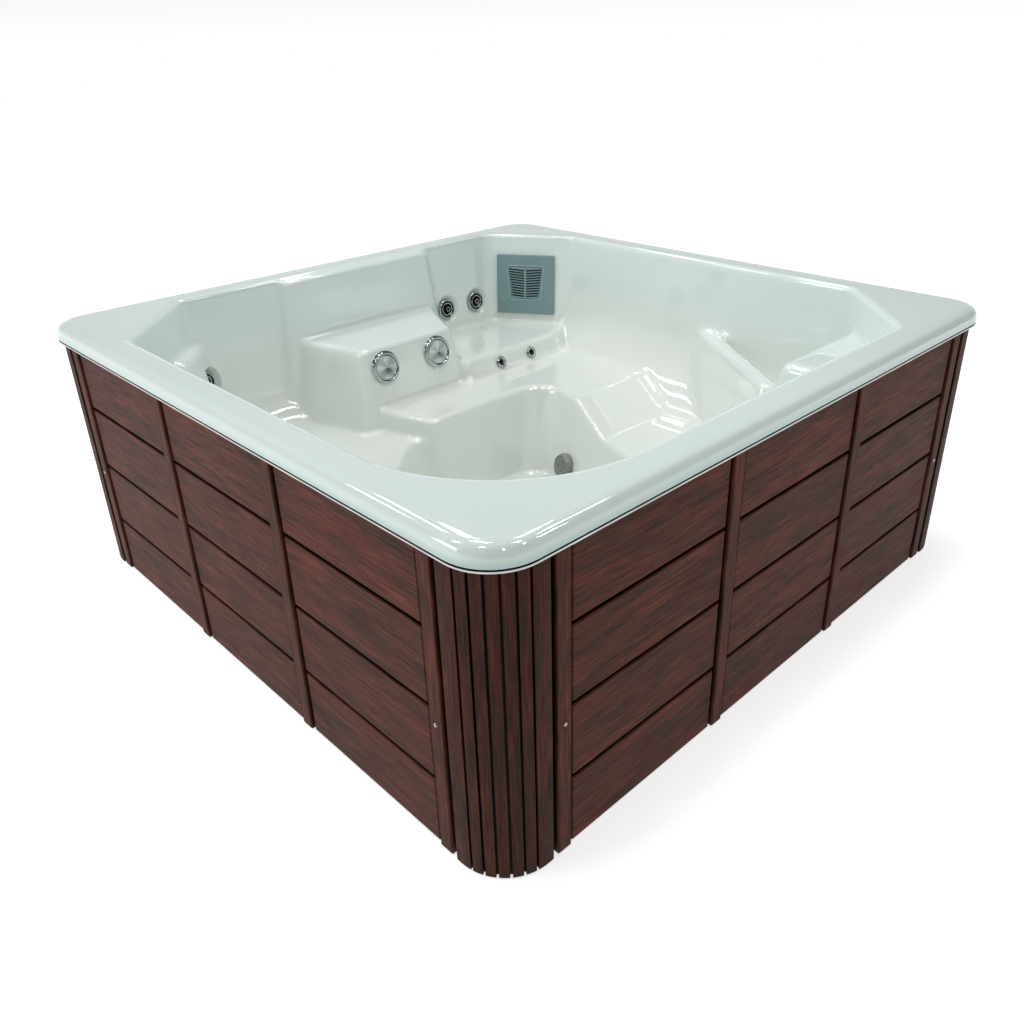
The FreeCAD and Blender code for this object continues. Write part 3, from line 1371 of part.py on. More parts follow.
def drain_pipe():
    """Grated floor fitting with a pipe that runs under the footwell to the back."""
    top = FLOOR_Z
    barrel = turned(((0, DRAIN_Z - FLOOR_Z), (DRAIN_BARREL_R, DRAIN_Z - FLOOR_Z), (DRAIN_BARREL_R, 0),
                     (DRAIN_FLANGE_R, 0), (DRAIN_FLANGE_R, DRAIN_FLANGE_T), (0, DRAIN_FLANGE_T)))
    barrel.translate(Vector(DRAIN_X, DRAIN_Y, top))
    end = POST_FACE - DRAIN_PLATE_T
    run = rod(drain_axis(DRAIN_Y), drain_axis(end), DRAIN_PIPE_R)
    ball = Part.makeSphere(DRAIN_BARREL_R, drain_axis(DRAIN_Y))
    bores = [rod(drain_axis(DRAIN_Y), drain_axis(end), DRAIN_PIPE_BORE),
             rod(drain_axis(DRAIN_Y), Vector(DRAIN_X, DRAIN_Y, top - 1), DRAIN_PIPE_BORE)]
    for i in range(DRAIN_HOLES):
        angle = 360.0 * i / DRAIN_HOLES
        across = Vector(DRAIN_HOLE_AT * cos_deg(angle), DRAIN_HOLE_AT * sin_deg(angle), 0)
        spot = Vector(DRAIN_X, DRAIN_Y, top - DRAIN_HOLE_DEEP) + across
        bores.append(Part.makeCylinder(DRAIN_HOLE_R, DRAIN_HOLE_DEEP + DRAIN_FLANGE_T + 1, spot))
    return barrel.fuse([run, ball]).cut(bores).removeSplitter()


def drain_valve():
    start = POST_FACE - DRAIN_PLATE_T
    plate = rod(drain_axis(start), drain_axis(POST_FACE), DRAIN_PLATE_R)
    spigot = rod(drain_axis(start), drain_axis(POST_FACE + SPIGOT_L), SPIGOT_R)
    return plate.fuse(spigot).cut(rod(drain_axis(start), drain_axis(POST_FACE + SPIGOT_L), SPIGOT_BORE))


def drain_cap():
    start = POST_FACE + CAP_GAP
    tip = POST_FACE + SPIGOT_L + CAP_GAP
    cap = rod(drain_axis(start), drain_axis(tip + CAP_T), CAP_R)
    cap = cap.makeChamfer(CAP_BEVEL, [e for e in cap.Edges if abs(e.CenterOfMass.y - tip - CAP_T) < 0.01])
    return cap.cut(rod(drain_axis(start - 1), drain_axis(tip), SPIGOT_R + CAP_GAP))


def back_cut(solids, cutters):
    return [solid.cut(cutters) for solid in solids]


def frame_group(maker):
    """The same frame members on all four sides."""
    group = []
    for angle in (0, 90, 180, 270):
        made = maker()
        for solid in made if isinstance(made, list) else [made]:
            group.append(turned_about_z(solid, angle))
    return group


def sill_rails():
    sills = frame_group(side_sill)
    half = DRAIN_PIPE_R + DRAIN_CLEAR
    passage = box(DRAIN_X - half, DRAIN_X + half, POST_FACE - POST_D - 1, POST_FACE + 1, DRAIN_Z - half,
                  SILL_TOP + 1)
    plate = rod(drain_axis(POST_FACE - DRAIN_PLATE_T - SEAT_GAP), drain_axis(POST_FACE + 1),
                DRAIN_PLATE_R + SEAT_GAP)
    return back_cut(sills, [passage, plate])


# Every node and its solids

def local_group(maker, places):
    return [placed(maker(), place) for place in places]


def nodes():
    made = {"acrylic_shell": [acrylic_shell()], "rim_trim": [rim_trim()]}
    for side, angle in (("front", 0), ("right", 90), ("back", 180), ("left", 270)):
        boards = [turned_about_z(board, angle) for board in side_boards()]
        if side == "back":
            reach = (POST_FACE - 1, BOARD_FACE + 1)
            gland_hole = rod(gland_axis(reach[0]), gland_axis(reach[1]), GLAND_R + SEAT_GAP)
            cap_hole = rod(drain_axis(reach[0]), drain_axis(reach[1]), CAP_R + BOARD_HOLE_GAP)
            boards = back_cut(boards, [gland_hole, cap_hole])
        made[side + "_boards"] = boards
        made[side + "_battens"] = [turned_about_z(batten, angle) for batten in side_battens()]
    for name, angle in (("front_right", 0), ("back_right", 90), ("back_left", 180), ("front_left", 270)):
        made["corner_panel_" + name] = [turned_about_z(corner_panel(), angle)]
    made["panel_screws"] = frame_group(side_screws)
    made["base_pan"] = [base_pan()]
    made["sill_rails"] = sill_rails()
    made["frame_posts"] = frame_group(side_posts)
    made["corner_posts"] = frame_group(corner_post)
    made["top_rails"] = frame_group(side_top_rail)
    made["shell_supports"] = shell_supports()
    for side, place in zip(("left", "right"), step_jet_places()):
        made["step_jet_ring_" + side] = [placed(step_ring(), place)]
        made["step_jet_disc_" + side] = [placed(step_disc(), place)]
    for side, place in zip(("left", "right", "seat"), back_jet_places()):
        made["back_jet_ring_" + side] = [placed(back_ring(), place)]
        made["back_jet_nozzle_" + side] = [placed(back_nozzle(), place)]
    for side, place in zip(("left", "right"), foot_jet_places()):
        made["foot_jet_face_" + side] = [placed(foot_face(), place)]
    made["step_jet_bodies"] = local_group(lambda: jet_body(STEP_JET), step_jet_places())
    made["back_jet_bodies"] = local_group(back_jet_body, back_jet_places())
    made["foot_jet_bodies"] = local_group(lambda: jet_body(FOOT_JET), foot_jet_places())
    made["jet_nuts"] = (local_group(lambda: jet_nut(STEP_JET), step_jet_places())
                        + local_group(lambda: jet_nut(BACK_JET), back_jet_places())
                        + local_group(lambda: jet_nut(FOOT_JET), foot_jet_places())
                        + local_group(lambda: jet_nut(SUCTION), [suction_place()]))
    made["suction_cover"] = [placed(suction_cover(), suction_place())]
    made["suction_body"] = [placed(jet_body(SUCTION), suction_place())]
    for name, maker in (("skimmer_housing", skimmer_housing), ("skimmer_faceplate", skimmer_faceplate),
                        ("faceplate_screw", faceplate_screw), ("weir_flap", weir_flap),
                        ("filter_cartridge", filter_cartridge)):
        made[name] = [placed(maker(), skimmer_place())]
    made["pump_motor"] = [pump_motor()]
    made["pump_wet_end"] = [pump_wet_end()]
    made["pump_rotor"] = [pump_rotor()]
    made["slice_valve_bodies"] = local_group(valve_block, [suction_valve_place(), pressure_valve_place()])
    made["suction_gate"] = [placed(valve_gate(), suction_valve_place())]
    made["pressure_gate"] = [placed(valve_gate(), pressure_valve_place())]
    made["suction_pipe"] = [suction_pipe()]
    made["pressure_pipes"] = pressure_pipes()
    made["heater_tube"] = [heater_tube()]
    made["water_manifold"] = [water_manifold()]
    made["jet_hoses"] = jet_hoses()
    made["control_box"] = [control_box()]
    made["cable_gland"] = [cable_gland()]
    made["drain_pipe"] = [drain_pipe()]
    made["drain_valve"] = [drain_valve()]
    made["drain_cap"] = [drain_cap()]
    return made


def main():
    os.makedirs("parts", exist_ok=True)
    for name, solids in nodes().items():
        Part.makeCompound(solids).exportStep(os.path.join("parts", name + ".step"))


main()
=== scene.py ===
import json
import math

import bmesh
import bpy
from mathutils import Matrix, Vector
from mathutils.bvhtree import BVHTree


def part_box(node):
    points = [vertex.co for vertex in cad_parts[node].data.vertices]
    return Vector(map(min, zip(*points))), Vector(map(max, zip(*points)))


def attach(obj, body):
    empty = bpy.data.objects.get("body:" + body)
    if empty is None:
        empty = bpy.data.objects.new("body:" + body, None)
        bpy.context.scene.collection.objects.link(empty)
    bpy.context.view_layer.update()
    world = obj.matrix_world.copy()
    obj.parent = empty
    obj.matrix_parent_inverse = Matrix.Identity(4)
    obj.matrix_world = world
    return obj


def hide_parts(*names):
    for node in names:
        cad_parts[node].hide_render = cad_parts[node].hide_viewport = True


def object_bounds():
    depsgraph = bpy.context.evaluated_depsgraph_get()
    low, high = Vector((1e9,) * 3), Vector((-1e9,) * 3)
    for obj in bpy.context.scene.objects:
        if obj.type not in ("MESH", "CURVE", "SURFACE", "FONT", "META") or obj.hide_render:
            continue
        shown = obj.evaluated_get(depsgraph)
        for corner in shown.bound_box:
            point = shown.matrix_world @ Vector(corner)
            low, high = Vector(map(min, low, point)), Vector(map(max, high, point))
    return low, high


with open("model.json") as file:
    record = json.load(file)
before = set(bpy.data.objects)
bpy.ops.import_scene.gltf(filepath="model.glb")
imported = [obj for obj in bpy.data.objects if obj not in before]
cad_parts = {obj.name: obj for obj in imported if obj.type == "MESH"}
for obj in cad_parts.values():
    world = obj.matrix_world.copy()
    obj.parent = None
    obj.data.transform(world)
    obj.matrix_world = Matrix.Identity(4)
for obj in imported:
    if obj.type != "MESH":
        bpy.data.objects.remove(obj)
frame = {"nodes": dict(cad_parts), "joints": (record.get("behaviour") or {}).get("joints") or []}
CAD_LOW, CAD_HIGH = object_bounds()

# Sizes of the tub in metres, from the frame where a node gives them

MM = 0.001
NODES = frame["nodes"]
JOINTS = {joint["name"]: joint for joint in frame["joints"]}
UP = Vector((0, 0, 1))

RIM_HALF = CAD_HIGH.x
RIM_CORNER = 120 * MM
RIM_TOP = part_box("acrylic_shell")[1].z
SKIRT_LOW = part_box("rim_trim")[1].z
SKIRT_EDGE = SKIRT_LOW + 4 * MM
SKIRT_T = 9 * MM
SKIRT_HEM = 28 * MM
OUTSIDE = RIM_HALF - 40 * MM

BOARD_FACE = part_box("right_boards")[1].x
CABINET_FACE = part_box("right_battens")[1].x
CABINET_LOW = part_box("front_battens")[0].z
CABINET_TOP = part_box("front_battens")[1].z
CABINET_MIDDLE = (CABINET_LOW + CABINET_TOP) / 2
BOARD_ROW = 200 * MM
BAY_PITCH = 570 * MM
CORNER_R = 135 * MM
CORNER_SLATS = 7

# The smooth moulding of the shell's wet side

EVEN_VOXEL = 10 * MM
BLOCK_LOW = -60 * MM
SOFT_LEVEL = 790 * MM
SOFT_PASSES = 2
RIM_PASSES = 1
HOLE_WALL = 12 * MM
WARM_LEVEL = 420 * MM
WET_SLOPE = 0.03
WET_LIFT = 0.2 * MM
SKIRT_UPRIGHT = 0.9
SKIRT_REACH = 20 * MM
FITTING_REACH = 50 * MM

STEP_HOLE_R = 47 * MM
BACK_HOLE_R = 32 * MM
FOOT_HOLE_R = 16 * MM
SUCTION_HOLE_R = 33 * MM
DRAIN_HOLE_R = 24 * MM
DISH_R = 58 * MM
DISH_FLOOR_R = 46 * MM
DISH_DEEP = 13 * MM
DISH_EDGE = 4 * MM
DISH_CLEAR = 75 * MM
WINDOW_HALF_W = 102.5 * MM
WINDOW_HALF_H = 101 * MM
DRAIN_AT = Vector((110 * MM, -130 * MM, 72 * MM))
SUCTION_AT = Vector((-103.324 * MM, 358.264 * MM, 138 * MM))
SUCTION_AXIS = Vector((-0.287887, -0.926604, 0.241922))
PLATE_AT = Vector((-789.35 * MM, 827.735 * MM, 626 * MM))

# Small helpers for meshes


def facing(at, axis):
    """Placement with Z along a fitting's axis and Y leaning up its wall."""
    z = Vector(axis).normalized()
    x = UP.cross(z)
    x = x.normalized() if x.length > 1e-6 else Vector((1, 0, 0))
    place = Matrix((x, z.cross(x), z)).transposed().to_4x4()
    place.translation = Vector(at)
    return place


def joint_place(name):
    return facing(JOINTS[name]["pos_m"], JOINTS[name]["axis"])


def arc(middle_r, middle_z, radius, start, end, count):
    """Points of a turned bead, in millimetres, from one angle to another in degrees."""
    points = []
    for i in range(count + 1):
        angle = math.radians(start + (end - start) * i / count)
        points.append((middle_r + radius * math.cos(angle), middle_z + radius * math.sin(angle)))
    return points


def turned(profile, place, steps=72):
    """A profile of radius and height, in millimetres, spun about the place's own Z."""
    bm = bmesh.new()
    verts = [bm.verts.new((r * MM, 0, z * MM)) for r, z in profile]
    edges = [bm.edges.new(pair) for pair in zip(verts, verts[1:])]
    bmesh.ops.spin(bm, geom=verts + edges, cent=(0, 0, 0), axis=(0, 0, 1), angle=2 * math.pi,
                   steps=steps, use_merge=True)
    bmesh.ops.remove_doubles(bm, verts=bm.verts, dist=1e-6)
    bmesh.ops.recalc_face_normals(bm, faces=bm.faces)
    bmesh.ops.transform(bm, matrix=place, verts=bm.verts)
    return bm


def joined(parts):
    """Several bmeshes as one."""
    whole = bmesh.new()
    for part in parts:
        mesh = bpy.data.meshes.new("joined")
        part.to_mesh(mesh)
        part.free()
        whole.from_mesh(mesh)
        bpy.data.meshes.remove(mesh)
    return whole


def scratch_object(bm, name):
    mesh = bpy.data.meshes.new(name)
    bm.to_mesh(mesh)
    bm.free()
    made = bpy.data.objects.new(name, mesh)
    bpy.context.scene.collection.objects.link(made)
    return made


def evaluated(made):
    """The mesh of an object with its modifiers, as a new bmesh. The object goes."""
    depsgraph = bpy.context.evaluated_depsgraph_get()
    mesh = bpy.data.meshes.new_from_object(made.evaluated_get(depsgraph))
    bm = bmesh.new()
    bm.from_mesh(mesh)
    bpy.data.meshes.remove(mesh)
    bpy.data.objects.remove(made)
    return bm


def carved(bm, cutters):
    """bm with the closed shapes in cutters taken away."""
    body = scratch_object(bm, "carved_body")
    tool = scratch_object(cutters, "carved_tool")
    cut = body.modifiers.new("cut", "BOOLEAN")
    cut.operation = "DIFFERENCE"
    cut.solver = "MANIFOLD"
    cut.object = tool
    result = evaluated(body)
    bpy.data.objects.remove(tool)
    return result


def piece(name, bm, materials, body, replaced=(), sharp=40):
    """A finished piece at the origin, riding on its body."""
    mesh = bpy.data.meshes.new(name)
    bm.to_mesh(mesh)
    bm.free()
    for material in materials:
        mesh.materials.append(material)
    mesh.shade_smooth()
    mesh.set_sharp_from_angle(angle=math.radians(sharp))
    made = bpy.data.objects.new(name, mesh)
    bpy.context.scene.collection.objects.link(made)
    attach(made, body)
    if replaced:
        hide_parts(*replaced)
    return made


# Small helpers for materials


def put(tree, kind, inputs=None, **settings):
    """A shader node with its settings, its values and its links."""
    made = tree.nodes.new("ShaderNode" + kind)
    for key, value in settings.items():
        setattr(made, key, value)
    for key, value in (inputs or {}).items():
        if isinstance(value, bpy.types.NodeSocket):
            tree.links.new(value, made.inputs[key])
        else:
            made.inputs[key].default_value = value
    return made


def maths(tree, operation, first, second=0.0):
    return put(tree, "Math", {0: first, 1: second}, operation=operation).outputs[0]


def spread(tree, value, low, high, to_low=0.0, to_high=1.0):
    """A value mapped from one range to another, smoothly and clamped."""
    return put(tree, "MapRange", {"Value": value, "From Min": low, "From Max": high, "To Min": to_low,
                                  "To Max": to_high}, interpolation_type="SMOOTHSTEP").outputs["Result"]


def ramp(tree, value, stops):
    """A colour ramp through stops of position and linear colour."""
    made = put(tree, "ValToRGB", {"Fac": value})
    elements = made.color_ramp.elements
    while len(elements) < len(stops):
        elements.new(1.0)
    for element, (position, colour) in zip(elements, stops):
        element.position = position
        element.color = (*colour, 1.0)
    return made.outputs["Color"]


def tinted(tree, factor, first, second):
    """A mix of two colours, each a colour or a socket."""
    made = put(tree, "Mix", data_type="RGBA")
    for index, value in ((0, factor), (6, first), (7, second)):
        if isinstance(value, bpy.types.NodeSocket):
            tree.links.new(value, made.inputs[index])
        else:
            made.inputs[index].default_value = value if index == 0 else (*value, 1.0)
    return made.outputs[2]


def object_point(tree):
    return put(tree, "TexCoord").outputs["Object"]


def split(tree, vector):
    return put(tree, "SeparateXYZ", {0: vector}).outputs


def joined_vector(tree, x, y, z):
    return put(tree, "CombineXYZ", {0: x, 1: y, 2: z}).outputs[0]


def noise(tree, vector, scale, detail=3.0, roughness=0.55):
    return put(tree, "TexNoise", {"Vector": vector, "Scale": scale, "Detail": detail,
                                  "Roughness": roughness}).outputs["Fac"]


def stretched(tree, vector, scale):
    return put(tree, "Mapping", {"Vector": vector, "Scale": scale}).outputs[0]


def relief(tree, height, strength, distance):
    return put(tree, "Bump", {"Height": height, "Strength": strength, "Distance": distance}).outputs[0]


def new_material(name):
    made = bpy.data.materials.new(name)
    made.use_nodes = True
    return made, made.node_tree, made.node_tree.nodes["Principled BSDF"]


def feed(tree, shader, **sockets):
    """Links or sets the shader's own sockets, named with underscores for spaces."""
    for key, value in sockets.items():
        socket = shader.inputs[key.replace("_", " ")]
        if isinstance(value, bpy.types.NodeSocket):
            tree.links.new(value, socket)
        elif socket.type == "RGBA":
            socket.default_value = (*value, 1.0)
        else:
            socket.default_value = value


def shared_group(name, inputs, outputs):
    """An empty node group with float and vector inputs and float outputs."""
    tree = bpy.data.node_groups.new(name, "ShaderNodeTree")
    for label, kind, value in inputs:
        socket = tree.interface.new_socket(label, in_out="INPUT", socket_type=kind)
        if value is not None:
            socket.default_value = value
    for label in outputs:
        tree.interface.new_socket(label, in_out="OUTPUT", socket_type="NodeSocketFloat")
    return tree, tree.nodes.new("NodeGroupInput").outputs, tree.nodes.new("NodeGroupOutput").inputs


def group_node(tree, group, inputs):
    made = tree.nodes.new("ShaderNodeGroup")
    made.node_tree = group
    for key, value in inputs.items():
        if isinstance(value, bpy.types.NodeSocket):
            tree.links.new(value, made.inputs[key])
        else:
            made.inputs[key].default_value = value
    return made.outputs


# Shared effects


def wood_fibre_group():
    """Fibres, bands and patches of a wood whose grain runs along the vector's X, in metres."""
    tree, given, out = shared_group(
        "wood_fibres", [("Point", "NodeSocketVector", None), ("Fineness", "NodeSocketFloat", 1.0)],
        ["Fibre", "Band", "Patch"])
    point = put(tree, "VectorMath", {0: given["Point"]}, operation="SCALE")
    tree.links.new(given["Fineness"], point.inputs["Scale"])
    scaled = point.outputs[0]
    fine = noise(tree, stretched(tree, scaled, (9, 460, 460)), 1.0, 4.0, 0.6)
    pores = noise(tree, stretched(tree, scaled, (26, 900, 900)), 1.0, 2.0, 0.5)
    tree.links.new(maths(tree, "ADD", maths(tree, "MULTIPLY", fine, 0.68),
                         maths(tree, "MULTIPLY", pores, 0.32)), out["Fibre"])
    tree.links.new(noise(tree, stretched(tree, scaled, (10, 150, 150)), 1.0, 4.0, 0.6), out["Band"])
    tree.links.new(noise(tree, stretched(tree, scaled, (4, 26, 26)), 1.0, 3.0, 0.5), out["Patch"])
    return tree


def moulding_group():
    """The fine pebble and faint clouding of a moulded plastic."""
    tree, given, out = shared_group(
        "moulded_skin", [("Point", "NodeSocketVector", None), ("Pebbles", "NodeSocketFloat", 900.0)],
        ["Cloud", "Pebble"])
    tree.links.new(noise(tree, given["Point"], 7.0, 4.0, 0.6), out["Cloud"])
    pebble = put(tree, "TexNoise", {"Vector": given["Point"], "Detail": 2.0, "Roughness": 0.5})
    tree.links.new(given["Pebbles"], pebble.inputs["Scale"])
    tree.links.new(pebble.outputs["Fac"], out["Pebble"])
    return tree


def smudge_group():
    """Water marks and handling on polished metal."""
    tree, given, out = shared_group(
        "water_marks", [("Point", "NodeSocketVector", None)], ["Smudge", "Spot"])
    tree.links.new(noise(tree, given["Point"], 38.0, 5.0, 0.65), out["Smudge"])
    spots = put(tree, "TexVoronoi", {"Vector": given["Point"], "Scale": 260.0})
    tree.links.new(spread(tree, spots.outputs["Distance"], 0.05, 0.3), out["Spot"])
    return tree


WOOD_FIBRES = wood_fibre_group()
MOULDED_SKIN = moulding_group()
WATER_MARKS = smudge_group()

# Finishes

# Painted shade on the outside of the rim's skirt, and the distances over which it fades in.
SKIRT_PAINTED_SHADE = (0.40, 0.55, 0.51)
SKIRT_SHADE_BLEND = 12 * MM
SKIRT_SHADE_START = 14 * MM
SKIRT_SHADE_FULL = 40 * MM
WOOD_SPECULAR = 0.09
# Painted shade for the gaps between boards, battens and corner slats, with the depths where it starts and
# where it is full.
GAP_PAINTED_SHADE = (0.004, 0.003, 0.003)
BOARD_GAP_START = 2.2 * MM
BOARD_GAP_DEEP = 6 * MM
BATTEN_GAP_START = 4 * MM
BATTEN_GAP_DEEP = 12 * MM
FLUTE_START = 1 * MM
FLUTE_DEEP = 5 * MM
# Painted shade over the whole rounded corner, standing in for the dark reflection in its varnish.
CORNER_SHADE_AMOUNT = 0.34
CORNER_SHADE = (0.006, 0.004, 0.004)
BRUSH_LINES = 1600.0
# Painted highlight: how many bright wedges lie round a brushed face, and how far they are turned.
HIGHLIGHT_WEDGES = 4.0
HIGHLIGHT_WEDGE_TURN = 0.5
# Painted shade and dark reflection for the rim strip's edges.
TRIM_EDGE_SHADE = (0.01, 0.01, 0.01)


def acrylic_finish():
    """Glossy white acrylic with a faint sea-green cast, warmer low in the bowl, a drawn sheet's slight
    ripple, and painted shade in a darker green on the outside of the skirt.
    """
    made, tree, shader = new_material("white_acrylic")
    point = object_point(tree)
    cloud = noise(tree, point, 2.4, 3.0, 0.5)
    ripple = noise(tree, point, 34.0, 2.0, 0.4)
    fleck = noise(tree, point, 210.0, 2.0, 0.5)
    cool = ramp(tree, cloud, ((0.3, (0.735, 0.84, 0.82)), (0.7, (0.765, 0.86, 0.845))))
    warm = ramp(tree, cloud, ((0.3, (0.775, 0.825, 0.785)), (0.7, (0.80, 0.84, 0.80))))
    xyz = split(tree, point)
    height = spread(tree, xyz["Z"], WARM_LEVEL, RIM_TOP)
    reach = maths(tree, "MAXIMUM", maths(tree, "ABSOLUTE", xyz["X"]), maths(tree, "ABSOLUTE", xyz["Y"]))
    outer = spread(tree, reach, OUTSIDE - SKIRT_SHADE_BLEND, OUTSIDE)
    low_edge = spread(tree, xyz["Z"], RIM_TOP - SKIRT_SHADE_FULL, RIM_TOP - SKIRT_SHADE_START, 1.0, 0.0)
    # Painted shade: the outer skirt below the rounded top edge turns darker green.
    skirt = maths(tree, "MULTIPLY", outer, low_edge)
    feed(tree, shader,
         Base_Color=tinted(tree, skirt, tinted(tree, height, warm, cool), SKIRT_PAINTED_SHADE),
         Roughness=spread(tree, fleck, 0.25, 0.75, 0.025, 0.055),
         Normal=relief(tree, ripple, 0.04, 2 * MM),
         IOR=1.49, Specular_IOR_Level=0.85, Coat_Weight=0.5, Coat_Roughness=0.02)
    return made


def mahogany_colour(tree, grain, groove):
    """Colour, roughness and relief of the cabinet wood. groove is 0 down in a gap and 1 on a face; down in
    the gaps the wood is painted black as shade.
    """
    fibres = group_node(tree, WOOD_FIBRES, {"Point": grain, "Fineness": 1.0})
    mix = maths(tree, "ADD", maths(tree, "MULTIPLY", fibres["Fibre"], 0.36),
                maths(tree, "MULTIPLY", fibres["Band"], 0.46))
    mix = maths(tree, "ADD", mix, maths(tree, "MULTIPLY", fibres["Patch"], 0.18))
    brown = ramp(tree, mix, ((0.36, (0.017, 0.0075, 0.006)), (0.45, (0.047, 0.018, 0.012)),
                             (0.53, (0.078, 0.027, 0.017)), (0.64, (0.126, 0.044, 0.027))))
    red = ramp(tree, mix, ((0.36, (0.020, 0.007, 0.005)), (0.45, (0.056, 0.016, 0.011)),
                           (0.53, (0.102, 0.0255, 0.016)), (0.64, (0.18, 0.046, 0.029))))
    colour = tinted(tree, spread(tree, fibres["Patch"], 0.32, 0.68), brown, red)
    # Painted shade: the wood turns black down in the gaps between boards, battens and slats.
    shaded = tinted(tree, groove, GAP_PAINTED_SHADE, colour)
    rough = spread(tree, fibres["Fibre"], 0.3, 0.7, 0.62, 0.48)
    return shaded, rough, relief(tree, fibres["Fibre"], 0.35, 0.8 * MM)


def board_finish(name, along, face_axis, offset):
    """Cabinet boards: the grain runs level along a side, and each board has its own stretch of it."""
    made, tree, shader = new_material(name)
    xyz = split(tree, object_point(tree))
    row = maths(tree, "FLOOR", maths(tree, "DIVIDE", maths(tree, "SUBTRACT", xyz["Z"], CABINET_MIDDLE),
                                     BOARD_ROW))
    bay = maths(tree, "FLOOR", maths(tree, "DIVIDE", maths(tree, "ADD", xyz[along], BAY_PITCH / 2),
                                     BAY_PITCH))
    shift = maths(tree, "ADD", maths(tree, "MULTIPLY", row, 7.31), maths(tree, "MULTIPLY", bay, 3.17))
    shift = maths(tree, "ADD", shift, offset)
    grain = joined_vector(tree, maths(tree, "ADD", xyz[along], shift), xyz["Z"], shift)
    depth = maths(tree, "ABSOLUTE", xyz[face_axis])
    groove = spread(tree, depth, BOARD_FACE - BOARD_GAP_DEEP, BOARD_FACE - BOARD_GAP_START)
    colour, rough, normal = mahogany_colour(tree, grain, groove)
    feed(tree, shader, Base_Color=colour, Roughness=rough, Normal=normal, Specular_IOR_Level=WOOD_SPECULAR)
    return made


def batten_finish(name, along, face_axis, offset):
    """Upright battens: the grain runs up, and each batten has its own stretch of it."""
    made, tree, shader = new_material(name)
    xyz = split(tree, object_point(tree))
    place = maths(tree, "ROUND", maths(tree, "DIVIDE", xyz[along], BAY_PITCH / 2))
    shift = maths(tree, "ADD", maths(tree, "MULTIPLY", place, 5.3), offset)
    grain = joined_vector(tree, maths(tree, "ADD", xyz["Z"], shift), xyz[along], shift)
    depth = maths(tree, "ABSOLUTE", xyz[face_axis])
    groove = spread(tree, depth, CABINET_FACE - BATTEN_GAP_DEEP, CABINET_FACE - BATTEN_GAP_START)
    colour, rough, normal = mahogany_colour(tree, grain, groove)
    feed(tree, shader, Base_Color=colour, Roughness=rough, Normal=normal, Specular_IOR_Level=WOOD_SPECULAR)
    return made


def corner_finish():
    """Corner panels: the grain runs up each slat, the flutes between them are painted black as shade, and the
    whole corner is darkened as painted shade standing in for the dark reflection in its varnish.
    """
    made, tree, shader = new_material("mahogany_corner")
    xyz = split(tree, object_point(tree))
    middle = CABINET_FACE - CORNER_R
    out_x = maths(tree, "MAXIMUM", maths(tree, "SUBTRACT", maths(tree, "ABSOLUTE", xyz["X"]), middle), 0.0)
    out_y = maths(tree, "MAXIMUM", maths(tree, "SUBTRACT", maths(tree, "ABSOLUTE", xyz["Y"]), middle), 0.0)
    angle = maths(tree, "ARCTAN2", out_y, out_x)
    slat = maths(tree, "FLOOR", maths(tree, "DIVIDE", angle, math.pi / 2 / CORNER_SLATS))
    radius = put(tree, "VectorMath", {0: joined_vector(tree, out_x, out_y, 0.0)},
                 operation="LENGTH").outputs["Value"]
    side = maths(tree, "ADD", maths(tree, "MULTIPLY", maths(tree, "SIGN", xyz["X"]), 2.9),
                 maths(tree, "MULTIPLY", maths(tree, "SIGN", xyz["Y"]), 11.3))
    shift = maths(tree, "ADD", maths(tree, "MULTIPLY", slat, 4.7), side)
    across = maths(tree, "MULTIPLY", angle, CORNER_R)
    grain = joined_vector(tree, maths(tree, "ADD", xyz["Z"], shift), across, shift)
    groove = spread(tree, radius, CORNER_R - FLUTE_DEEP, CORNER_R - FLUTE_START)
    colour, rough, normal = mahogany_colour(tree, grain, groove)
    # Painted shade: the rounded corner is darkened as a whole.
    colour = tinted(tree, CORNER_SHADE_AMOUNT, colour, CORNER_SHADE)
    feed(tree, shader, Base_Color=colour, Roughness=rough, Normal=normal, Specular_IOR_Level=WOOD_SPECULAR)
    return made


def timber_finish():
    """Frame timber, stained dark."""
    made, tree, shader = new_material("stained_timber")
    xyz = split(tree, object_point(tree))
    grain = joined_vector(tree, xyz["Z"], xyz["X"], xyz["Y"])
    fibres = group_node(tree, WOOD_FIBRES, {"Point": grain, "Fineness": 0.5})
    feed(tree, shader,
         Base_Color=ramp(tree, fibres["Fibre"], ((0.3, (0.010, 0.008, 0.007)), (0.7, (0.035, 0.026, 0.02)))),
         Roughness=spread(tree, fibres["Band"], 0.3, 0.7, 0.7, 0.9),
         Normal=relief(tree, fibres["Fibre"], 0.3, 0.6 * MM))
    return made


def moulded_finish(name, dark, light, rough, pebbles=900.0, bump=0.06):
    """A moulded plastic between two close colours, with its pebble and clouding."""
    made, tree, shader = new_material(name)
    skin = group_node(tree, MOULDED_SKIN, {"Point": object_point(tree), "Pebbles": pebbles})
    feed(tree, shader,
         Base_Color=ramp(tree, skin["Cloud"], ((0.3, dark), (0.7, light))),
         Roughness=spread(tree, skin["Pebble"], 0.25, 0.75, rough - 0.05, rough + 0.08),
         Normal=relief(tree, skin["Pebble"], bump, 0.5 * MM))
    return made


def metal_finish(name, dark, light, low, high):
    """A metal between two close colours, with water marks from roughness low to high."""
    made, tree, shader = new_material(name)
    marks = group_node(tree, WATER_MARKS, {"Point": object_point(tree)})
    rough = maths(tree, "MULTIPLY", marks["Smudge"], marks["Spot"])
    feed(tree, shader,
         Base_Color=ramp(tree, marks["Smudge"], ((0.3, dark), (0.7, light))),
         Roughness=spread(tree, rough, 0.2, 0.7, low, high),
         Metallic=1.0)
    return made


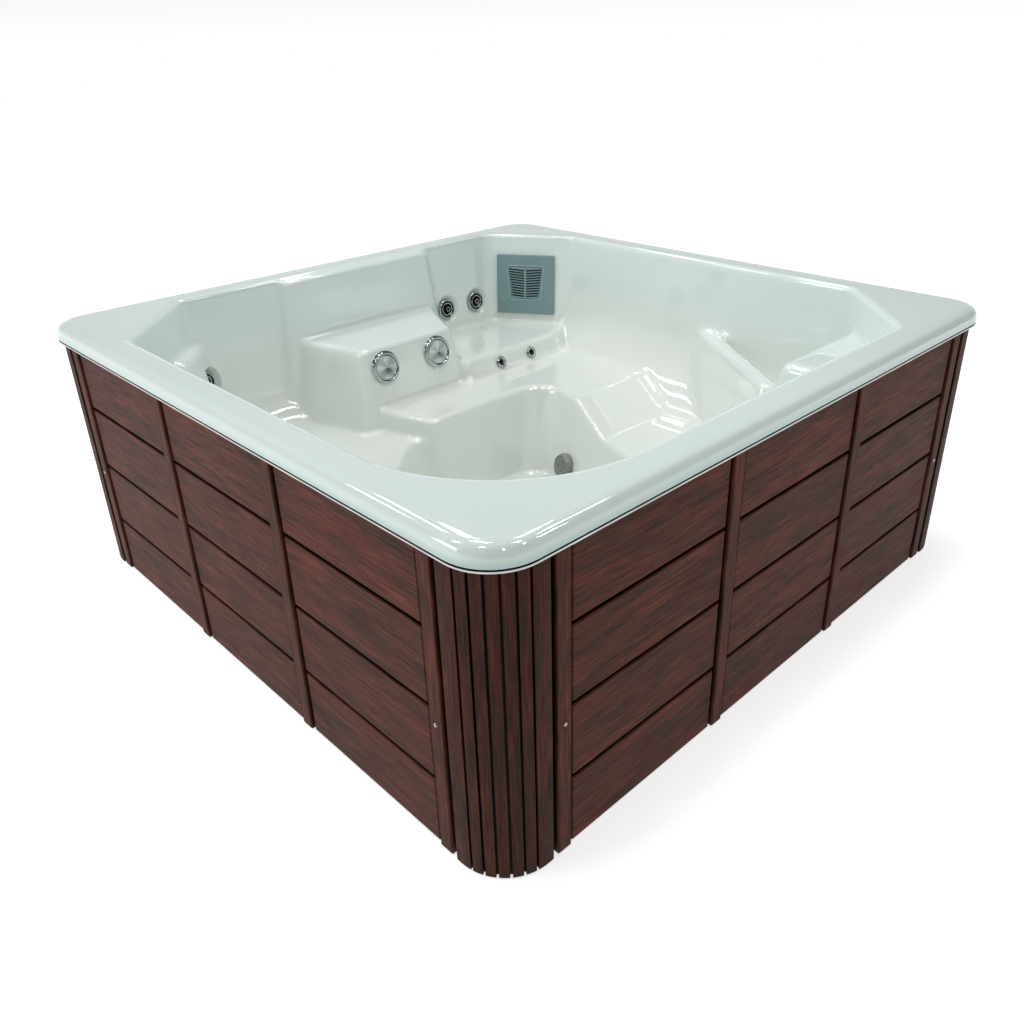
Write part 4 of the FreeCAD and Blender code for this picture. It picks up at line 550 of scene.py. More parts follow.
def disc_finish(name, place):
    """Metal brushed in circles about a jet's axis, with wedges of painted highlight laid into its colour
    round the axis.
    """
    made, tree, shader = new_material(name)
    turn = place.to_quaternion().inverted().to_euler()
    shift = -(place.to_3x3().inverted() @ place.translation)
    local = put(tree, "Mapping", {"Vector": object_point(tree), "Location": shift, "Rotation": turn})
    xyz = split(tree, local.outputs[0])
    flat = joined_vector(tree, xyz["X"], xyz["Y"], 0.0)
    radius = put(tree, "VectorMath", {0: flat}, operation="LENGTH").outputs["Value"]
    angle = maths(tree, "ARCTAN2", xyz["Y"], xyz["X"])
    rings = maths(tree, "MULTIPLY", radius, BRUSH_LINES)
    lines = noise(tree, joined_vector(tree, rings, angle, 0.0), 1.0, 2.0, 0.5)
    # Painted highlight: bright and dark wedges round the axis, as light lies on circle-brushed metal.
    wedge_highlight = maths(tree, "SINE", maths(tree, "MULTIPLY", maths(tree, "ADD", angle, HIGHLIGHT_WEDGE_TURN), HIGHLIGHT_WEDGES))
    tone = maths(tree, "ADD", maths(tree, "MULTIPLY", wedge_highlight, 0.16), maths(tree, "MULTIPLY", lines, 0.9))
    feed(tree, shader,
         Base_Color=ramp(tree, tone, ((0.2, (0.34, 0.38, 0.39)), (0.8, (0.70, 0.74, 0.75)))),
         Roughness=spread(tree, lines, 0.3, 0.7, 0.22, 0.36),
         Normal=relief(tree, lines, 0.5, 0.15 * MM), Metallic=1.0)
    return made


def trim_finish():
    """Silver strip under the rim, with its top and bottom edges painted black as shade and dark reflection.
    """
    made, tree, shader = new_material("rim_strip")
    point = object_point(tree)
    xyz = split(tree, point)
    low, high = (corner.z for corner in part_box("rim_trim"))
    tall = high - low
    # Painted shade and dark reflection: thin black bands at the strip's top and bottom edges.
    above = spread(tree, xyz["Z"], low + 0.06 * tall, low + 0.14 * tall)
    below = spread(tree, xyz["Z"], low + 0.88 * tall, low + 0.96 * tall, 1.0, 0.0)
    bright = maths(tree, "MULTIPLY", above, below)
    streak = noise(tree, stretched(tree, point, (14, 14, 1500)), 1.0, 3.0, 0.5)
    silver = ramp(tree, streak, ((0.3, (0.20, 0.21, 0.21)), (0.7, (0.66, 0.67, 0.66))))
    feed(tree, shader, Base_Color=tinted(tree, bright, TRIM_EDGE_SHADE, silver), Metallic=bright,
         Roughness=spread(tree, streak, 0.3, 0.7, 0.18, 0.34))
    return made


def grille_finish():
    """Speckled grey moulding of the suction cover."""
    made, tree, shader = new_material("suction_grey")
    point = object_point(tree)
    skin = group_node(tree, MOULDED_SKIN, {"Point": point, "Pebbles": 500.0})
    speck = put(tree, "TexVoronoi", {"Vector": point, "Scale": 420.0}).outputs["Color"]
    grain = maths(tree, "MULTIPLY", split(tree, speck)["X"], skin["Cloud"])
    feed(tree, shader,
         Base_Color=ramp(tree, grain, ((0.05, (0.13, 0.14, 0.13)), (0.3, (0.24, 0.255, 0.24)),
                                       (0.6, (0.37, 0.38, 0.35)))),
         Roughness=spread(tree, skin["Pebble"], 0.3, 0.7, 0.22, 0.4),
         Normal=relief(tree, skin["Pebble"], 0.15, 0.6 * MM))
    return made


def foam_finish():
    """Cut foam blocks under the shell."""
    made, tree, shader = new_material("support_foam")
    point = object_point(tree)
    cells = put(tree, "TexVoronoi", {"Vector": point, "Scale": 320.0}).outputs["Distance"]
    feed(tree, shader,
         Base_Color=ramp(tree, cells, ((0.1, (0.28, 0.27, 0.22)), (0.6, (0.52, 0.50, 0.42)))),
         Roughness=spread(tree, noise(tree, point, 30.0), 0.3, 0.7, 0.85, 0.97),
         Normal=relief(tree, cells, 0.4, 1.2 * MM))
    return made


def paper_finish():
    """Pleated filter paper."""
    made, tree, shader = new_material("filter_paper")
    point = object_point(tree)
    felt = noise(tree, point, 420.0, 4.0, 0.65)
    feed(tree, shader,
         Base_Color=ramp(tree, felt, ((0.3, (0.55, 0.57, 0.56)), (0.7, (0.74, 0.75, 0.73)))),
         Roughness=spread(tree, noise(tree, point, 60.0), 0.3, 0.7, 0.82, 0.95),
         Normal=relief(tree, felt, 0.3, 0.4 * MM))
    return made


ACRYLIC = acrylic_finish()
CHROME = metal_finish("jet_chrome", (0.40, 0.42, 0.43), (0.58, 0.60, 0.60), 0.05, 0.14)
STEEL = metal_finish("screw_steel", (0.30, 0.29, 0.28), (0.46, 0.45, 0.44), 0.25, 0.45)
TUBE_STEEL = metal_finish("heater_steel", (0.48, 0.48, 0.47), (0.62, 0.62, 0.61), 0.22, 0.42)
JET_BLACK = moulded_finish("jet_black", (0.006, 0.007, 0.008), (0.013, 0.014, 0.016), 0.22)
JET_GREY = moulded_finish("nozzle_grey", (0.22, 0.24, 0.25), (0.31, 0.33, 0.34), 0.25)
PLATE_GREY = moulded_finish("plate_blue_grey", (0.178, 0.275, 0.295), (0.205, 0.31, 0.33), 0.36, 1400.0, 0.05)
PLATE_SHADE = moulded_finish("plate_shade", (0.06, 0.10, 0.11), (0.075, 0.12, 0.13), 0.4, 1400.0, 0.05)
# Painted highlight for the plate's bead and the leaves' eased edges.
PLATE_HIGHLIGHT = moulded_finish("plate_painted_highlight", (0.30, 0.42, 0.44), (0.34, 0.46, 0.48), 0.3, 1400.0, 0.05)
HOUSING_DARK = moulded_finish("housing_dark", (0.008, 0.011, 0.012), (0.016, 0.02, 0.021), 0.5)
PVC_WHITE = moulded_finish("white_pvc", (0.58, 0.59, 0.58), (0.70, 0.71, 0.70), 0.32)
HOSE_GREY = moulded_finish("pipe_grey", (0.40, 0.41, 0.41), (0.52, 0.53, 0.53), 0.36)
ABS_BLACK = moulded_finish("pan_black", (0.010, 0.010, 0.011), (0.020, 0.020, 0.021), 0.5, 350.0, 0.2)
BOX_GREY = moulded_finish("box_grey", (0.13, 0.135, 0.14), (0.18, 0.185, 0.19), 0.45)
CASTING = moulded_finish("pump_black", (0.016, 0.017, 0.018), (0.03, 0.031, 0.033), 0.38, 500.0, 0.15)
MOTOR_PAINT = moulded_finish("motor_paint", (0.035, 0.045, 0.06), (0.055, 0.068, 0.085), 0.42, 600.0, 0.12)
GATE_BLUE = moulded_finish("gate_handle", (0.035, 0.07, 0.13), (0.05, 0.095, 0.17), 0.35)

# The acrylic shell


def shell_fittings():
    """Each round hole of the shell: its placement, its radius and the dish round it, or 0."""
    found = []
    for side in ("left", "right"):
        found.append((joint_place("step_jet_turn_" + side), STEP_HOLE_R, 0))
        found.append((joint_place("foot_jet_turn_" + side), FOOT_HOLE_R, 0))
    for side in ("left", "right", "seat"):
        found.append((joint_place("back_ring_turn_" + side), BACK_HOLE_R, DISH_R))
    found.append((facing(SUCTION_AT, SUCTION_AXIS), SUCTION_HOLE_R, 0))
    found.append((facing(DRAIN_AT, UP), DRAIN_HOLE_R, 0))
    return found


def plate_place():
    return facing(PLATE_AT, JOINTS["filter_plate_off"]["axis"])


def in_hole(point, holes, window):
    """True within a fitting's hole, its dish or the filter's window, a little over its edge."""
    for back, radius, dish in holes:
        local = back @ point
        edge = max(radius, dish) + DISH_EDGE * (dish > 0)
        if abs(local.z) < FITTING_REACH and math.hypot(local.x, local.y) < edge:
            return True
    local = window @ point
    return abs(local.z) < FITTING_REACH / 2 and abs(local.x) < WINDOW_HALF_W and abs(local.y) < WINDOW_HALF_H


def outside_reach(point):
    return max(abs(point.x), abs(point.y))


def keep_wet_side(bm):
    """Deletes all but the faces that water or a hand can reach, with the fittings' holes left open."""
    tree = BVHTree.FromBMesh(bm)
    holes = [(place.inverted(), radius, dish) for place, radius, dish in shell_fittings()]
    window = plate_place().inverted()
    dry = []
    for face in bm.faces:
        middle = face.calc_center_median()
        start = middle + face.normal * WET_LIFT
        open_up = face.normal.z > WET_SLOPE and tree.ray_cast(start, UP)[0] is None
        skirt = outside_reach(middle) > OUTSIDE - SKIRT_REACH and middle.z > SKIRT_LOW
        upright = abs(face.normal.z) < SKIRT_UPRIGHT
        open_out = skirt and upright and tree.ray_cast(start, face.normal)[0] is None
        if in_hole(middle, holes, window) or not (open_up or open_out):
            dry.append(face)
    bmesh.ops.delete(bm, geom=dry, context="FACES")


def close_block(bm):
    """Fills the holes and drops a skirt and a bottom, so that the wet side tops a closed block."""
    edges = [edge for edge in bm.edges if edge.is_boundary]
    skirt = []
    inner = []
    for edge in edges:
        low = all(vert.co.z < SKIRT_LOW + 1 * MM and outside_reach(vert.co) > OUTSIDE - SKIRT_REACH
                  for vert in edge.verts)
        (skirt if low else inner).append(edge)
    bmesh.ops.holes_fill(bm, edges=inner, sides=0)
    grown = bmesh.ops.extrude_edge_only(bm, edges=skirt)["geom"]
    for vert in grown:
        if isinstance(vert, bmesh.types.BMVert):
            vert.co.z = BLOCK_LOW
    bmesh.ops.holes_fill(bm, edges=[edge for edge in bm.edges if edge.is_boundary], sides=0)
    bmesh.ops.recalc_face_normals(bm, faces=bm.faces)


def even_block(bm):
    block = scratch_object(bm, "shell_block")
    remesh = block.modifiers.new("even", "REMESH")
    remesh.mode = "VOXEL"
    remesh.voxel_size = EVEN_VOXEL
    return evaluated(block)


def soften(bm):
    """Draws the edges round, as heated sheet does, and the rim only a little."""
    bowl = [vert for vert in bm.verts if vert.co.z < SOFT_LEVEL]
    for verts, passes in ((bowl, SOFT_PASSES), (list(bm.verts), RIM_PASSES)):
        for _ in range(passes):
            bmesh.ops.smooth_vert(bm, verts=verts, factor=0.5, use_axis_x=True, use_axis_y=True,
                                  use_axis_z=True)


def hole_plugs():
    """Closed shapes of the fittings' holes and dishes, and of the filter's window."""
    plugs = []
    wall = HOLE_WALL / MM
    for place, radius, dish in shell_fittings():
        hole = radius / MM
        if dish:
            floor, edge, deep = DISH_FLOOR_R / MM, DISH_R / MM, DISH_DEEP / MM
            top = DISH_CLEAR / MM
            lip = DISH_EDGE / MM
            profile = [(0, -wall), (hole, -wall), (hole, 0), (floor - 3, 0), (floor, 0.8)]
            profile += [(edge - 1.5, deep - 2.5), (edge, deep - 0.8), (edge + lip / 2, deep + 0.3)]
            profile += [(edge + lip, deep + 0.7), (edge + lip, top), (0, top)]
        else:
            profile = [(0, -wall), (hole, -wall), (hole, 2 * wall), (0, 2 * wall)]
        plugs.append(turned(profile, place, 64))
    window = bmesh.new()
    bmesh.ops.create_cube(window, size=1.0)
    bmesh.ops.scale(window, vec=(2 * WINDOW_HALF_W, 2 * WINDOW_HALF_H, 2 * HOLE_WALL), verts=window.verts)
    bmesh.ops.transform(window, matrix=plate_place(), verts=window.verts)
    plugs.append(window)
    return joined(plugs)


def open_holes(bm):
    """Takes the floors out of the plugs' pockets, which leaves holes with a wall."""
    gone = []
    places = [(place.inverted(), radius) for place, radius, _ in shell_fittings()]
    places.append((plate_place().inverted(), WINDOW_HALF_W * math.sqrt(2)))
    for face in bm.faces:
        middle = face.calc_center_median()
        for back, radius in places:
            local = back @ middle
            if abs(local.z + HOLE_WALL) < 0.5 * MM and math.hypot(local.x, local.y) < radius:
                gone.append(face)
                break
    bmesh.ops.delete(bm, geom=gone, context="FACES")


def rim_outward(point):
    """Level direction out of the rim's rounded square."""
    flat = RIM_HALF - RIM_CORNER
    near = Vector((max(-flat, min(flat, point.x)), max(-flat, min(flat, point.y)), 0))
    return (Vector((point.x, point.y, 0)) - near).normalized()


def trim_skirt(bm):
    """Cuts the block off at the skirt's lower edge and turns the edge in as a hem."""
    sides = [face for face in bm.faces if outside_reach(face.calc_center_median()) > OUTSIDE]
    geom = set(sides)
    for face in sides:
        geom.update(face.edges)
        geom.update(face.verts)
    bmesh.ops.bisect_plane(bm, geom=list(geom), dist=1e-6, plane_co=(0, 0, SKIRT_EDGE), plane_no=(0, 0, 1))
    gone = []
    for face in bm.faces:
        middle = face.calc_center_median()
        if middle.z < BLOCK_LOW / 2 or (outside_reach(middle) > OUTSIDE and middle.z < SKIRT_EDGE):
            gone.append(face)
    bmesh.ops.delete(bm, geom=gone, context="FACES")
    hem = [edge for edge in bm.edges
           if edge.is_boundary and all(outside_reach(vert.co) > OUTSIDE for vert in edge.verts)]
    for inward, rise in ((SKIRT_T, 0.0), (0.0, SKIRT_HEM)):
        grown = bmesh.ops.extrude_edge_only(bm, edges=hem)["geom"]
        for vert in grown:
            if isinstance(vert, bmesh.types.BMVert):
                vert.co -= rim_outward(vert.co) * inward
                vert.co.z += rise
        hem = [edge for edge in grown if isinstance(edge, bmesh.types.BMEdge)]


def make_shell():
    bm = bmesh.new()
    bm.from_mesh(NODES["acrylic_shell"].data)
    bmesh.ops.remove_doubles(bm, verts=bm.verts, dist=0.01 * MM)
    keep_wet_side(bm)
    close_block(bm)
    bm = even_block(bm)
    soften(bm)
    bm = carved(bm, hole_plugs())
    open_holes(bm)
    trim_skirt(bm)
    bmesh.ops.delete(bm, geom=[vert for vert in bm.verts if not vert.link_faces], context="VERTS")
    piece("tub_shell", bm, [ACRYLIC], "tub", ["acrylic_shell"], sharp=60)


# Jets, as turned profiles of radius and height in millimetres

STEP_BEAD = arc(51.8, 11.2, 5.4, -20, 200, 14)
STEP_FLANGE = [(46, 4.4), (60.3, 4.4), (60.5, 5.0), (60.4, 7.2), (59.6, 8.6), (58.2, 9.0)]
STEP_BEZEL = STEP_FLANGE + STEP_BEAD + [(46.4, 8.6), (46, 8.4), (46, 4.4)]
STEP_DIMPLE = [(0, 12.2), (4.0, 12.3), (5.0, 12.9)]
STEP_FACE = STEP_DIMPLE + [(42, 13.3), (44, 13.2), (45.2, 12.4), (45.5, 11.2), (45.5, 8.5), (0, 8.5)]

BACK_OUTER_BEAD = arc(37.6, 7.6, 4.3, -8, 188, 12)
BACK_INNER_BEAD = arc(25.4, 8.8, 2.9, -10, 190, 10)
BACK_THROAT = [(21.6, 4.0), (19.6, -2.0), (18.6, -8.0), (21, -8.0), (26, 4.4), (42, 4.4)]
BACK_BEZEL = [(42, 4.4)] + BACK_OUTER_BEAD + [(32.4, 5.6), (29.2, 5.6)] + BACK_INNER_BEAD + BACK_THROAT
BACK_CHANNEL_IN = 27.4
BACK_CHANNEL_OUT = 34.0
BACK_THROAT_R = 22.4
SPOUT_BALL = arc(0, -2, 16.2, -50, 42, 10)
SPOUT_LIP = arc(9, 17, 2, 0, 180, 8)
SPOUT = SPOUT_BALL + [(11, 11), (11, 16.6)] + SPOUT_LIP + [(7, 14), (7, -6), (0, -6), (0, -14.4)]
SPOUT_LIP_LOW = 14.5

FOOT_FLANGE = [(11.2, 3.4), (24.8, 3.4), (25, 4.0), (24.8, 5.6), (23.4, 6.9), (21.0, 7.5), (19.8, 7.2)]
FOOT_BEAD = arc(16.2, 6.6, 2.9, 10, 170, 8)
FOOT_MOUTH = [(12.4, 5.2), (9.0, 2.6), (7, 0), (7, -9), (0, -9), (0, -11), (9, -11), (11.2, 3.4)]
FOOT_MOUTH_R = 11.5


def paint(bm, place, chosen):
    """Gives the second finish to the faces whose radius and height, in millimetres, are chosen."""
    back = place.inverted()
    for face in bm.faces:
        local = (back @ face.calc_center_median()) / MM
        face.material_index = 1 if chosen(math.hypot(local.x, local.y), local.z) else 0


def in_channel(radius, _):
    """True in a back jet's black channel and in its throat."""
    return BACK_CHANNEL_IN < radius < BACK_CHANNEL_OUT or radius < BACK_THROAT_R


def step_jet(side):
    """Chrome bezel with a flange and a bead, round a circle-brushed face."""
    place = joint_place("step_jet_turn_" + side)
    body = "step_jet_" + side
    piece("step_bezel_" + side, turned(STEP_BEZEL, place), [CHROME], body,
          ["step_jet_ring_" + side])
    piece("step_face_" + side, turned(STEP_FACE, place), [disc_finish("brushed_painted_sheen_face_" + side, place)], body,
          ["step_jet_disc_" + side])


def back_jet(side):
    """Two chrome beads with a black channel between, round a ball nozzle."""
    place = joint_place("back_ring_turn_" + side)
    ring = turned(BACK_BEZEL, place)
    paint(ring, place, in_channel)
    piece("back_bezel_" + side, ring, [CHROME, JET_BLACK], "back_ring_" + side,
          ["back_jet_ring_" + side])
    spout = turned(SPOUT, place, 48)
    paint(spout, place, lambda _, height: height > SPOUT_LIP_LOW)
    piece("back_spout_" + side, spout, [JET_BLACK, JET_GREY], "back_nozzle_" + side,
          ["back_jet_nozzle_" + side])


def foot_jet(side):
    """Small chrome eye with a dark mouth."""
    place = joint_place("foot_jet_turn_" + side)
    eye = turned(FOOT_FLANGE + FOOT_BEAD + FOOT_MOUTH, place, 48)
    paint(eye, place, lambda radius, _: radius < FOOT_MOUTH_R)
    piece("foot_bezel_" + side, eye, [CHROME, JET_BLACK], "foot_jet_" + side,
          ["foot_jet_face_" + side])


# Filter plate, drawn in its own axes: X across, Y up, Z out of the wall

PLATE_HALF_W = 127 * MM
PLATE_HALF_H = 126 * MM
PLATE_LOW = 0.7 * MM
PLATE_BACK = 5.4 * MM
PLATE_FRONT = 13.2 * MM
PLATE_CORNER = 4 * MM
PLATE_EASE = 2 * MM
PLATE_SKIRT = 4 * MM
PANEL_TOP = 84 * MM
PANEL_LOW = -66 * MM
PANEL_TOP_HALF = 83 * MM
PANEL_LOW_HALF = 68 * MM
PANEL_BEAD = 4.5 * MM
PANEL_BEAD_H = 1.0 * MM
PANEL_CORNER = 12 * MM
PANEL_GROOVE = 3 * MM
PANEL_GROOVE_DEEP = 2.4 * MM
LOUVRE_ROWS = 11
LOUVRE_TOP = 63 * MM
LOUVRE_PITCH = 11 * MM
LOUVRE_H = 6.2 * MM
LOUVRE_TOP_W = 69 * MM
LOUVRE_LOW_W = 54 * MM
LOUVRE_RIB = 8 * MM
LOUVRE_RISE = 6.6 * MM
SCREW_HOLE_R = 2.5 * MM
SCREW_UP = 108 * MM
LEAF_STEPS = 14
LEAF_TIP = Vector((50 * MM, -108 * MM))
LEAF_UPPER = (Vector((118 * MM, -28 * MM)), Vector((92 * MM, -78 * MM)))
LEAF_LOWER = (Vector((119 * MM, -78 * MM)), Vector((88 * MM, -98 * MM)))
LEAF_SUNK = 0.4 * MM
LEAF_H = 0.8 * MM
LEAF_EASE = 0.7 * MM
SLOT_END_R = 1.2 * MM
# Finish slots of the filter plate: painted shade and painted highlight.
SHADE_FACE = 1
HIGHLIGHT_FACE = 2


def outline_face(bm, corners, radius, segments, z):
    """A flat face through corners, each drawn round."""
    verts = [bm.verts.new((x, y, z)) for x, y in corners]
    bm.faces.new(verts)
    if radius:
        bmesh.ops.bevel(bm, geom=verts, offset=radius, offset_type="OFFSET", affect="VERTICES",
                        segments=segments, profile=0.5, material=-1)


def raised(bm, height):
    """Extrudes every face of a flat bmesh up by a height into a closed solid."""
    grown = bmesh.ops.extrude_face_region(bm, geom=list(bm.faces), use_keep_orig=True)["geom"]
    bmesh.ops.translate(bm, vec=(0, 0, height), verts=[v for v in grown if isinstance(v, bmesh.types.BMVert)])
    bmesh.ops.recalc_face_normals(bm, faces=bm.faces)
    return bm


def plate_body():
    w, h = PLATE_HALF_W, PLATE_HALF_H
    bm = bmesh.new()
    outline_face(bm, ((-w, -h), (w, -h), (w, h), (-w, h)), PLATE_CORNER, 4, PLATE_LOW)
    raised(bm, PLATE_FRONT - PLATE_LOW)
    top = [edge for edge in bm.edges if all(vert.co.z > PLATE_FRONT - 0.1 * MM for vert in edge.verts)]
    bmesh.ops.bevel(bm, geom=top, offset=PLATE_EASE, offset_type="OFFSET", affect="EDGES", segments=3,
                    profile=0.5, material=-1)
    return bm


def panel_ring(inside, width, low, height):
    """A closed ring along the louvre panel's outline, set in from it."""
    low_half, top_half = PANEL_LOW_HALF - inside, PANEL_TOP_HALF - inside
    bottom, top = PANEL_LOW + inside, PANEL_TOP - inside
    bm = bmesh.new()
    outline_face(bm, ((-low_half, bottom), (low_half, bottom), (top_half, top), (-top_half, top)),
                 PANEL_CORNER - inside, 6, low)
    bmesh.ops.inset_region(bm, faces=bm.faces, use_boundary=True, thickness=width, use_even_offset=True)
    inner = max(bm.faces, key=lambda face: face.calc_area())
    bmesh.ops.delete(bm, geom=[inner], context="FACES")
    return raised(bm, height)


def shade_panel(bm, high, steep):
    """Gives the steep or the level faces within the louvre panel, up to a height, the painted-shade finish.
    """
    for face in bm.faces:
        middle = face.calc_center_median()
        inside = abs(middle.x) < PANEL_TOP_HALF and PANEL_LOW < middle.y < PANEL_TOP
        if inside and PLATE_BACK + 1 * MM < middle.z < high and (abs(face.normal.z) < 0.5) == steep:
            face.material_index = SHADE_FACE


def louvre_slots():
    """Slots in two columns that climb away from the middle rib and shorten downwards."""
    slots = []
    for row in range(LOUVRE_ROWS):
        width = LOUVRE_TOP_W + (LOUVRE_LOW_W - LOUVRE_TOP_W) * row / (LOUVRE_ROWS - 1)
        level = LOUVRE_TOP - row * LOUVRE_PITCH - LOUVRE_RISE / 2
        for side in (-1, 1):
            near = side * LOUVRE_RIB / 2
            far = near + side * width
            rise = LOUVRE_RISE * width / LOUVRE_TOP_W
            half = LOUVRE_H / 2
            bm = bmesh.new()
            corners = [(near, level - half), (far, level + rise - half), (far, level + rise + half),
                       (near, level + half)]
            outline_face(bm, corners if side > 0 else corners[::-1], SLOT_END_R, 2, 0)
            slots.append(raised(bm, 2 * PLATE_FRONT))
    return slots


def plate_hollow():
    bm = bmesh.new()
    w, h = PLATE_HALF_W - PLATE_SKIRT, PLATE_HALF_H - PLATE_SKIRT
    outline_face(bm, ((-w, -h), (w, -h), (w, h), (-w, h)), 0, 1, -PLATE_FRONT)
    return raised(bm, PLATE_FRONT + PLATE_BACK)


def screw_hole():
    bm = bmesh.new()
    bmesh.ops.create_cone(bm, cap_ends=True, segments=24, radius1=SCREW_HOLE_R, radius2=SCREW_HOLE_R,
                          depth=4 * PLATE_FRONT)
    bmesh.ops.translate(bm, vec=(0, SCREW_UP, 0), verts=bm.verts)
    return bm


def leaf(side):
    """A low leaf-shaped swelling in a lower corner of the plate, its eased edge painted as highlight."""
    bm = bmesh.new()
    points = []
    there = range(LEAF_STEPS + 1)
    back = range(LEAF_STEPS - 1, -1, -1)
    for (start, bend), order in ((LEAF_UPPER, there), (LEAF_LOWER, back)):
        for i in order:
            t = i / LEAF_STEPS
            points.append((1 - t) ** 2 * start + 2 * t * (1 - t) * bend + t * t * LEAF_TIP)
    verts = [bm.verts.new((side * point.x, point.y, PLATE_FRONT - LEAF_SUNK)) for point in points]
    bm.faces.new(verts)
    raised(bm, LEAF_SUNK + LEAF_H)
    top = [edge for edge in bm.edges if all(vert.co.z > PLATE_FRONT for vert in edge.verts)]
    bmesh.ops.bevel(bm, geom=top, offset=LEAF_EASE, offset_type="OFFSET", affect="EDGES", segments=2,
                    profile=0.5, material=HIGHLIGHT_FACE)
    return bm


def make_filter_plate():
    groove = panel_ring(PANEL_BEAD, PANEL_GROOVE, PLATE_FRONT - PANEL_GROOVE_DEEP, 3 * PANEL_GROOVE_DEEP)
    bm = carved(plate_body(), joined([plate_hollow(), screw_hole(), groove]))
    bm = carved(bm, joined(louvre_slots()))
    for face in bm.faces:
        face.material_index = 0
    # Painted shade in the groove and down the slot walls.
    shade_panel(bm, PLATE_FRONT - PANEL_GROOVE_DEEP, True)
    shade_panel(bm, PLATE_FRONT - 1 * MM, False)
    # Painted highlight: the raised bead round the louvre panel is lighter all over.
    bead = panel_ring(0, PANEL_BEAD, PLATE_FRONT - PANEL_BEAD_H, 2 * PANEL_BEAD_H)
    for face in bead.faces:
        face.material_index = HIGHLIGHT_FACE
    bm = joined([bm, bead, leaf(-1), leaf(1)])
    bmesh.ops.transform(bm, matrix=plate_place(), verts=bm.verts)
    piece("filter_grille", bm, [PLATE_GREY, PLATE_SHADE, PLATE_HIGHLIGHT], "filter_plate",
          ["skimmer_faceplate"], sharp=30)


# Finishes of the nodes that keep their own solids


def dress(material, *names):
    for name in names:
        mesh = NODES[name].data
        mesh.materials.clear()
        mesh.materials.append(material)


def dress_cabinet():
    sides = (("front", "X", "Y", 0.0), ("back", "X", "Y", 20.3), ("right", "Y", "X", 41.9),
             ("left", "Y", "X", 63.1))
    for side, along, face_axis, offset in sides:
        dress(board_finish("mahogany_boards_" + side, along, face_axis, offset), side + "_boards")
        dress(batten_finish("mahogany_battens_" + side, along, face_axis, offset), side + "_battens")
    dress(corner_finish(), *[name for name in NODES if name.startswith("corner_panel_")])


def dress_nodes():
    dress_cabinet()
    dress(trim_finish(), "rim_trim")
    dress(grille_finish(), "suction_cover")
    dress(STEEL, "panel_screws", "faceplate_screw")
    dress(ABS_BLACK, "base_pan", "cable_gland")
    dress(timber_finish(), "sill_rails", "frame_posts", "corner_posts", "top_rails")
    dress(foam_finish(), "shell_supports")
    dress(PVC_WHITE, "step_jet_bodies", "back_jet_bodies", "foot_jet_bodies", "jet_nuts", "suction_body",
          "slice_valve_bodies", "drain_valve", "drain_cap")
    dress(HOUSING_DARK, "skimmer_housing", "weir_flap")
    dress(paper_finish(), "filter_cartridge")
    dress(CASTING, "pump_wet_end", "pump_rotor")
    dress(MOTOR_PAINT, "pump_motor")
    dress(GATE_BLUE, "suction_gate", "pressure_gate")
    dress(HOSE_GREY, "suction_pipe", "pressure_pipes", "water_manifold", "jet_hoses", "drain_pipe")
    dress(TUBE_STEEL, "heater_tube")
    dress(BOX_GREY, "control_box")


# Camera, floor and light

IMAGE_PX = 1024
FOCAL_PX = 901.26
CENTRE_PX = (522.13, 482.76)
SENSOR = 36.0
CAMERA_AT = Vector((2.0187, -1.8807, 1.6319))
CAMERA_YAW = math.radians(46.618)
CAMERA_PITCH = math.radians(26.863)
CAMERA_ROLL = math.radians(-1.527)
FLOOR_HALF = 30.0
FLOOR_NEAR = 1.2
FLOOR_FAR = 3.5
FLOOR_NEAR_GLOW = 0.72
FLOOR_FAR_GLOW = 0.98
SKY = ((0.0, (1.0, 1.0, 1.0)), (0.1, (0.78, 0.79, 0.79)), (0.3, (0.30, 0.31, 0.31)),
       (1.0, (0.28, 0.29, 0.29)))
NEAR_X = 0.73
NEAR_Y = 0.68
SIDE_DIM = 0.10
NEAR_DIM = 0.25
LAMP_UP = 3.0
LAMP_W = 0.2
LAMP_L = 0.5
LAMP_WHITE = (1.0, 1.0, 0.99)
LAMP_ACROSS = (-1.7, -0.55, 0.75, 2.2)
LAMP_ALONG = ((-1.3, 7.0), (0.1, 7.0), (1.0, 5.6))
PANEL_LAMP_AT = (-1.4, -4.4, 2.4)
PANEL_LAMP_AIM = (0, 0, 0.6)
PANEL_LAMP_WARM = (1.0, 0.99, 0.97)


def make_camera():
    level = math.cos(CAMERA_PITCH)
    back = Vector((math.sin(CAMERA_YAW) * level, -math.cos(CAMERA_YAW) * level, math.sin(CAMERA_PITCH)))
    right = Vector((math.cos(CAMERA_YAW), math.sin(CAMERA_YAW), 0))
    up = back.cross(right)
    across = right * math.cos(CAMERA_ROLL) + up * math.sin(CAMERA_ROLL)
    rise = up * math.cos(CAMERA_ROLL) - right * math.sin(CAMERA_ROLL)
    data = bpy.data.cameras.new("photo_view")
    data.sensor_width = SENSOR
    data.lens = FOCAL_PX / IMAGE_PX * SENSOR
    data.shift_x = (IMAGE_PX / 2 - CENTRE_PX[0]) / IMAGE_PX
    data.shift_y = (CENTRE_PX[1] - IMAGE_PX / 2) / IMAGE_PX
    camera = bpy.data.objects.new("photo_view", data)
    camera.matrix_world = Matrix((across, rise, back)).transposed().to_4x4()
    camera.location = CAMERA_AT
    bpy.context.scene.collection.objects.link(camera)
    bpy.context.scene.camera = camera


